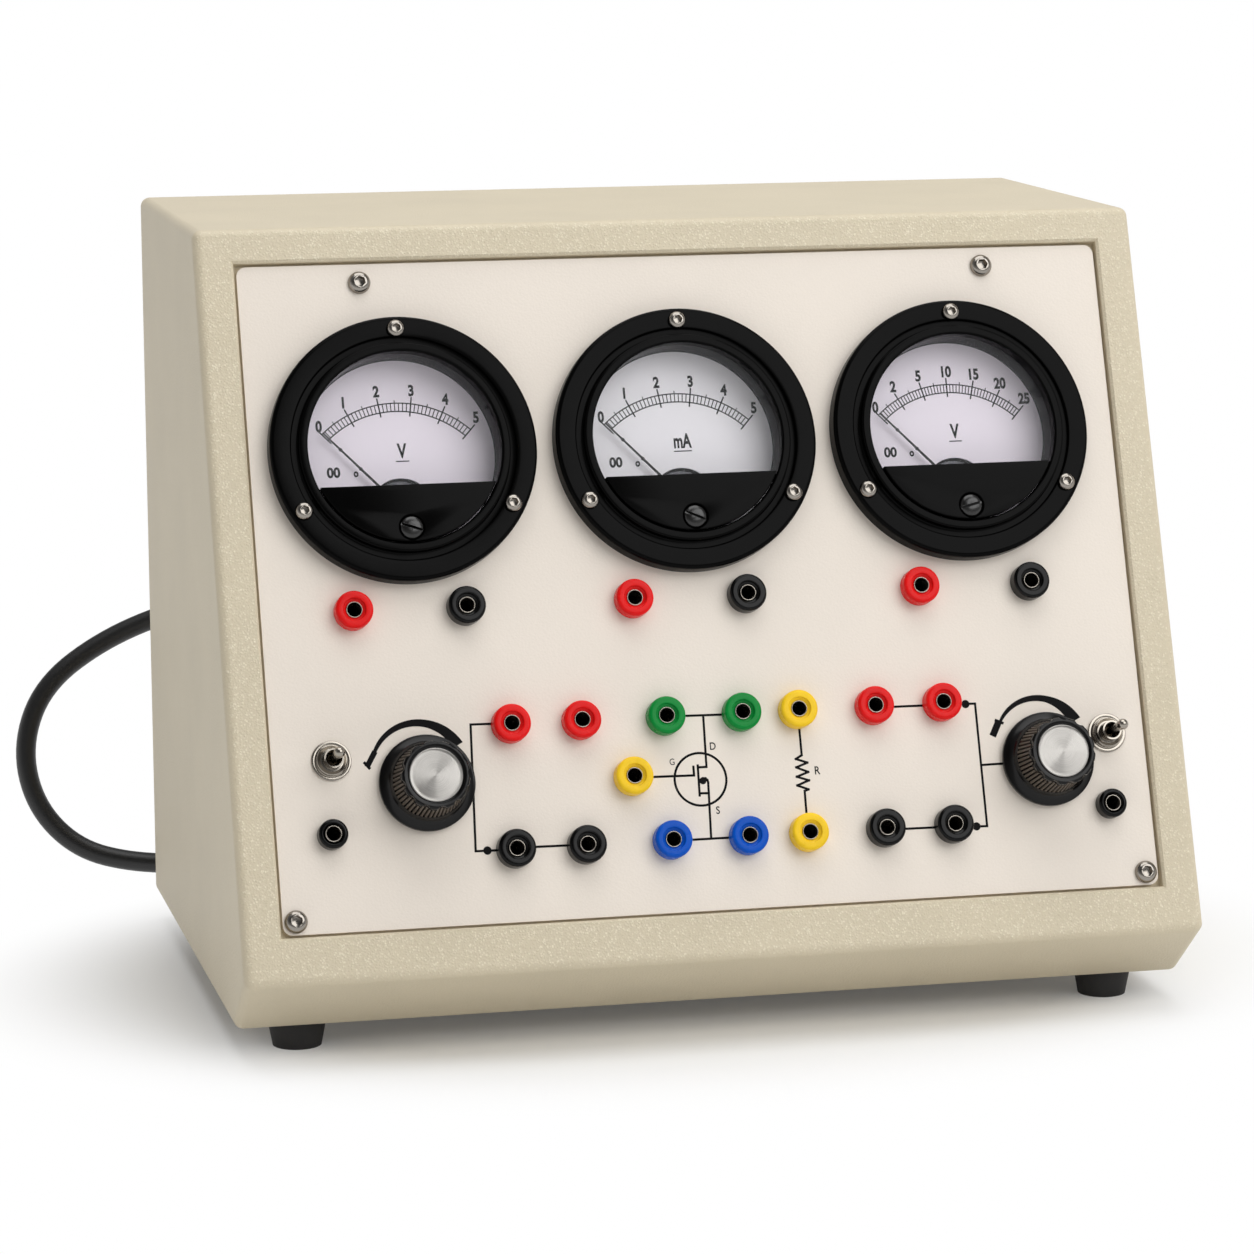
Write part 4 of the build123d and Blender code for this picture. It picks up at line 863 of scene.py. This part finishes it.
# %% [markdown]
# Behind the case the lead is held by a moulded strain relief whose rings let it bend gently, and it ends in a moulded
# plug. Both are out of the photograph's sight, so they follow common patterns. The relief is turned, with its rings in
# the outline. The plug grows from one rounded rectangle, extruded and widened step by step, with grip grooves cut in.

# %% Strain relief and plug
def ringed(low, high, low_radius, high_radius, pitch=3.3, depth=0.8):
    """An outline that narrows from one radius to another in rings."""
    outline, height = [], low
    while height + pitch < high:
        radius = low_radius + (high_radius - low_radius) * (height - low) / (high - low)
        outline += [(radius, height + 0.2), (radius, height + pitch - 1.3), (radius - depth, height + pitch - 1.0),
                    (radius - depth, height + pitch - 0.2)]
        height += pitch
    return outline + [(high_radius, height + 0.2), (high_radius, high - 0.4), (high_radius - 0.4, high)]


relief = turned(
    "strain_relief",
    [(3.6, -5.0), (7.4, -5.0), (7.4, -2.0), (6.0, -2.0), (6.0, 0.0), (9.0, 0.0)]
    + arc((8.2, 2.2), 0.8, 0, 90, 5)
    + [(7.0, 3.0)]
    + ringed(3.2, 32.0, 6.6, 4.4)
    + [(3.6, 32.0), (3.6, -5.0)],
    sides=64, sharp=40,
)
seat(relief, Matrix.Translation(Vector((-95, 101.5, 98)) * mm) @ Matrix.Rotation(math.radians(-90), 4, "X"))
dress(relief, black_rubber, "trainer", "black_rubber", "cord_gland")

select_only()
bpy.ops.mesh.primitive_plane_add(size=1, location=(0, 0, 20 * mm))
grip_body = just_added("plug_grip")
grip_body.scale = (16.2 * mm, 19.4 * mm, 1)
bpy.ops.object.transform_apply(location=True, scale=True)
edit_all()
bpy.ops.mesh.bevel(offset=4 * mm, segments=5, affect="VERTICES")
sections = [(20, 16.2, 19.4), (20.9, 18.0, 21.6), (27, 19.6, 23.6), (33, 21.4, 26.0), (36, 22.5, 27.6),
            (58.8, 22.5, 27.6), (59.7, 21.8, 26.9), (60, 20.6, 25.7)]
for (height, thick, wide), (next_height, next_thick, next_wide) in zip(sections, sections[1:]):
    bpy.ops.mesh.extrude_region_move(TRANSFORM_OT_translate={"value": (0, 0, (next_height - height) * mm)})
    bpy.ops.transform.resize(
        value=(next_thick / thick, next_wide / wide, 1), center_override=(0, 0, next_height * mm)
    )
end_edit()
grooves = [
    bar(f"groove_{height}_{hand}", (26, 1.8, 1.5), (0, hand * half_width, height))
    for height, half_width in ((25.5, 11.6), (29.0, 12.1), (32.5, 12.9)) for hand in (-1, 1)
]
cut(grip_body, *grooves)
soften(grip_body, 0.3, 2, angle=35)
plug_relief = turned(
    "plug_relief",
    [(3.6, 0.0)] + ringed(-0.2, 19.4, 4.5, 6.6)[:-1] + [(6.6, 20.6), (3.6, 20.6), (3.6, 0.0)],
    sides=64, sharp=40,
)
mains_plug = joined("mains_plug", [grip_body, plug_relief])
seat(mains_plug, Matrix.Translation(Vector((44, 126, 11.4)) * mm) @ Matrix.Rotation(math.radians(90), 4, "Y"))
dress(mains_plug, black_rubber, "trainer", "black_rubber", "plug_body")
print("strain relief and plug,", len(mains_plug.data.polygons), "faces")

# %% [markdown]
# The circuit on the panel is printed in black. Printing has no thickness to speak of, but an image isn't allowed and
# a material would have to be told every line, so each stroke is a real strip a few hundredths of a millimetre
# thick: a poly curve with a round bevel, made a mesh, pressed flat and laid on the face.

# %% Strokes and letters
ink_black = polished("printing_ink", linear(9, 8, 9), 0.6, gloss=0.12)
capital_share = 0.7  # of the font's size is the height of its capitals


def strokes(name, lines, width, thickness=0.04):
    curve = bpy.data.curves.new(name, "CURVE")
    curve.dimensions = "3D"
    curve.bevel_depth = width / 2 * mm
    curve.bevel_resolution = 2
    curve.use_fill_caps = True
    for line in lines:
        for start, end in zip(line, line[1:]):
            run = Vector(end) - Vector(start)
            reach = run.normalized() * width * 0.45
            spline = curve.splines.new("POLY")
            spline.points.add(1)
            spline.points[0].co = (*((Vector(start) - reach) * mm), 0, 1)
            spline.points[1].co = (*((Vector(end) + reach) * mm), 0, 1)
    drawn = bpy.data.objects.new(name, curve)
    bpy.context.scene.collection.objects.link(drawn)
    select_only(drawn)
    bpy.ops.object.convert(target="MESH")
    drawn = bpy.context.object
    drawn.scale = (1, 1, thickness / width)
    bpy.ops.object.transform_apply(scale=True)
    return drawn


def letter(name, text, place, size, narrow=0.85, bold=0.0):
    select_only()
    bpy.ops.object.text_add(location=(0, 0, 0))
    drawn = bpy.context.object
    drawn.data.body = text
    drawn.data.size = size / capital_share * mm
    drawn.data.align_x = drawn.data.align_y = "CENTER"
    drawn.data.extrude = 0.02 * mm
    drawn.data.offset = bold * mm
    drawn.data.resolution_u = 6
    bpy.ops.object.convert(target="MESH")
    drawn = just_added(name)
    drawn.scale = (narrow, 1, 1)
    bpy.ops.object.transform_apply(scale=True)
    return seat(drawn, Matrix.Translation((place[0] * mm, place[1] * mm, 0)))


def dots(name, places, radius):
    return [rod(f"{name}_{index}", radius, -0.02, 0.02, place, sides=32) for index, place in enumerate(places)]


print("drawing helpers ready")

# %% [markdown]
# The circuit has three parts: the supplies and their sockets on both sides, a field-effect transistor symbol
# between the middle sockets, and a resistor between two yellow ones.

# %% Circuit printing
circuit = [
    [(-69.0, 75.6), (-75.7, 75.7), (-77.2, 37.1), (-69.7, 37.0)],
    [(-60.0, 37.4), (-47.5, 37.3)],
    [(-10.0, 75.1), (3.2, 74.9)],
    [(-3.3, 75.0), (-3.7, 59.0), (-6.3, 59.0)],
    [(-6.4, 59.6), (-6.6, 50.3)],
    [(-6.6, 51.0), (-3.9, 50.9)],
    [(-7.8, 59.3), (-7.8, 56.6)],
    [(-22.0, 56.8), (-7.8, 56.6)],
    [(-5.1, 55.6), (-4.3, 55.5), (-3.8, 55.0), (-3.6, 54.2), (-3.7, 50.8), (-4.2, 37.0)],
    [(-11.6, 36.9), (1.9, 36.9)],
    [(26.6, 69.8), (26.6, 61.1), (24.6, 60.0), (28.2, 58.7), (24.5, 57.4), (28.2, 55.8), (24.4, 54.5), (28.2, 53.2),
     (24.3, 51.8), (27.8, 50.4), (26.5, 50.0), (26.4, 42.0)],
    [(55.7, 74.7), (67.2, 74.6)],
    [(77.8, 74.5), (83.5, 74.4), (83.5, 36.0), (77.6, 36.1)],
    [(83.5, 55.1), (90.6, 55.2)],
    [(55.6, 36.6), (67.0, 36.5)],
    arc((-5.9, 55.3), 8.1, 0, 360, 48),
]
printing = [strokes("circuit", circuit, 0.72)]
printing += dots("joint", [(-73.6, 37.1), (80.4, 74.4), (80.1, 36.1)], 1.28)
printing += dots("substrate", [(-5.2, 54.8)], 1.1)
printing += [
    letter("drain", "D", (-1.2, 65.2), 2.3, bold=0.03),
    letter("source", "S", (-1.3, 45.4), 2.3, bold=0.03),
    letter("gate", "G", (-14.3, 61.0), 2.0, bold=0.0),
    letter("load", "R", (31.0, 56.0), 2.5, bold=0.03),
]
print("printing pieces so far:", len(printing))

# %% [markdown]
# A broad curved arrow over each knob grows from a thin tail on the left to a thick end on the right. It is one flat
# grid, bent along the circle through three points, whose width grows from end to end as a brush would lay it.

# %% Arrows over the knobs
head_start = 0.62


def swelling_arrow(name, through, widths, steps=26):
    (x1, y1), (x2, y2), (x3, y3) = through
    double = 2 * (x1 * (y2 - y3) + x2 * (y3 - y1) + x3 * (y1 - y2))
    a, b, c = x1**2 + y1**2, x2**2 + y2**2, x3**2 + y3**2
    centre = Vector(((a * (y2 - y3) + b * (y3 - y1) + c * (y1 - y2)) / double,
                     (a * (x3 - x2) + b * (x1 - x3) + c * (x2 - x1)) / double))
    radius = (Vector(through[0]) - centre).length
    start = math.atan2(y1 - centre.y, x1 - centre.x)
    end = math.atan2(y3 - centre.y, x3 - centre.x)
    select_only()
    bpy.ops.mesh.primitive_grid_add(x_subdivisions=steps, y_subdivisions=1, size=1)
    band = just_added(name)
    for vertex in band.data.vertices:
        along = vertex.co.x + 0.5
        width = widths[0] + (widths[1] - widths[0]) * min(1, along * 1.6) ** 0.8
        if along > head_start:
            width += (widths[2] - widths[1]) * (along - head_start) / (1 - head_start)
        angle = start + (end - start) * along
        reach = radius + width * vertex.co.y
        vertex.co = (centre.x * mm + reach * math.cos(angle) * mm, centre.y * mm + reach * math.sin(angle) * mm, 0)
    edit_all()
    bpy.ops.mesh.extrude_region_move(TRANSFORM_OT_translate={"value": (0, 0, 0.03 * mm)})
    end_edit()
    return band


printing.append(swelling_arrow("left_arrow", [(-106.0, 68.0), (-91.4, 77.0), (-80.1, 69.6)], (1.0, 2.3, 3.6)))
printing.append(swelling_arrow("right_arrow", [(91.0, 68.3), (104.6, 75.1), (115.2, 67.5)], (0.9, 2.1, 4.2)))
printing += [
    strokes("left_arrow_tail", [[(-107.9, 65.0), (-105.9, 68.3)]], 1.7),
    strokes("left_arrow_foot", [[(-108.9, 65.6), (-107.6, 64.0)]], 0.9),
    strokes("right_arrow_tail", [[(88.6, 64.8), (90.2, 67.8)]], 2.2),
    strokes("right_arrow_bar", [[(89.7, 68.8), (91.7, 67.9)]], 0.9),
]
circuit_print = seat(joined("circuit_print", printing), on_panel(0, 0, 0.03))
dress(circuit_print, ink_black, "trainer", "pointer_black")
print("circuit printed,", len(circuit_print.data.polygons), "faces")

# %% [markdown]
# Each dial has the same scale: two fine arcs joined by ticks, eight to a number, with longer marks at the numbers.
# The left and right meters read volts on a lilac dial, and the middle one reads milliamperes on a white one. The
# numbers are generic for any such meter. The scale's centre is the pointer's own axis, so the needle follows it.

# %% Dial scales
pivot_drop, dial_height, dial_sweep = 17.3, -5.6, 43


def dial_print(side, numbers, unit, ticks_each=8):
    def at(angle, radius):
        turn = math.radians(90 - angle)
        return (radius * math.cos(turn), radius * math.sin(turn) - pivot_drop)

    inner, outer = 31.3, 33.9
    ticks = ticks_each * (len(numbers) - 1)
    arcs = [arc((0, -pivot_drop), radius, 90 + dial_sweep, 90 - dial_sweep, 60) for radius in (inner, outer)]
    fine, strong = [], []
    for step in range(ticks + 1):
        angle = -dial_sweep + 2 * dial_sweep * step / ticks
        major = step % ticks_each == 0
        middle = step % (ticks_each // 2) == 0
        if major:
            strong.append([at(angle, inner - 1.2), at(angle, outer + 1.9)])
        else:
            fine.append([at(angle, inner), at(angle, outer + (0.8 if middle else 0))])
    pieces = [strokes(f"{side}_arcs", arcs, 0.38, 0.03), strokes(f"{side}_fine", fine, 0.3, 0.03),
              strokes(f"{side}_strong", strong, 0.46, 0.03)]
    for index, number in enumerate(numbers):
        angle = (dial_sweep - 1.6) * (2 * index / (len(numbers) - 1) - 1)
        place = at(angle, outer + (2.3 if index == 0 else 4.0))
        pieces.append(letter(f"{side}_{number}", str(number), place, 3.3, narrow=0.8, bold=0.2))
    pieces.append(letter(f"{side}_unit", unit, (1.2, 1.3), 4.4, narrow=0.68 if len(unit) == 1 else 0.62, bold=0.2))
    underline = [(0.1 - 0.8 * len(unit), -1.7), (2.3 + 0.8 * len(unit), -1.7)]
    pieces.append(strokes(f"{side}_line", [underline], 0.36, 0.03))
    pieces.append(letter(f"{side}_grade", "00", (-20.4, -4.7), 3.0, narrow=0.95, bold=0.16))
    pieces.append(letter(f"{side}_mark", "o", (-13.5, -5.0), 2.3, narrow=0.8, bold=0.14))
    whole = seat(joined(f"{side}_scale", pieces), on_panel(*meters[side], dial_height + 0.02))
    dress(whole, ink_black, "trainer", "pointer_black")


dial_print("left", [0, 1, 2, 3, 4, 5], "V")
dial_print("centre", [0, 1, 2, 3, 4, 5], "mA")
dial_print("right", [0, 2, 5, 10, 15, 20, 25], "V")
print("three scales")

# %% [markdown]
# Last, the view layer is updated.

# %% The end
bpy.context.view_layer.update()
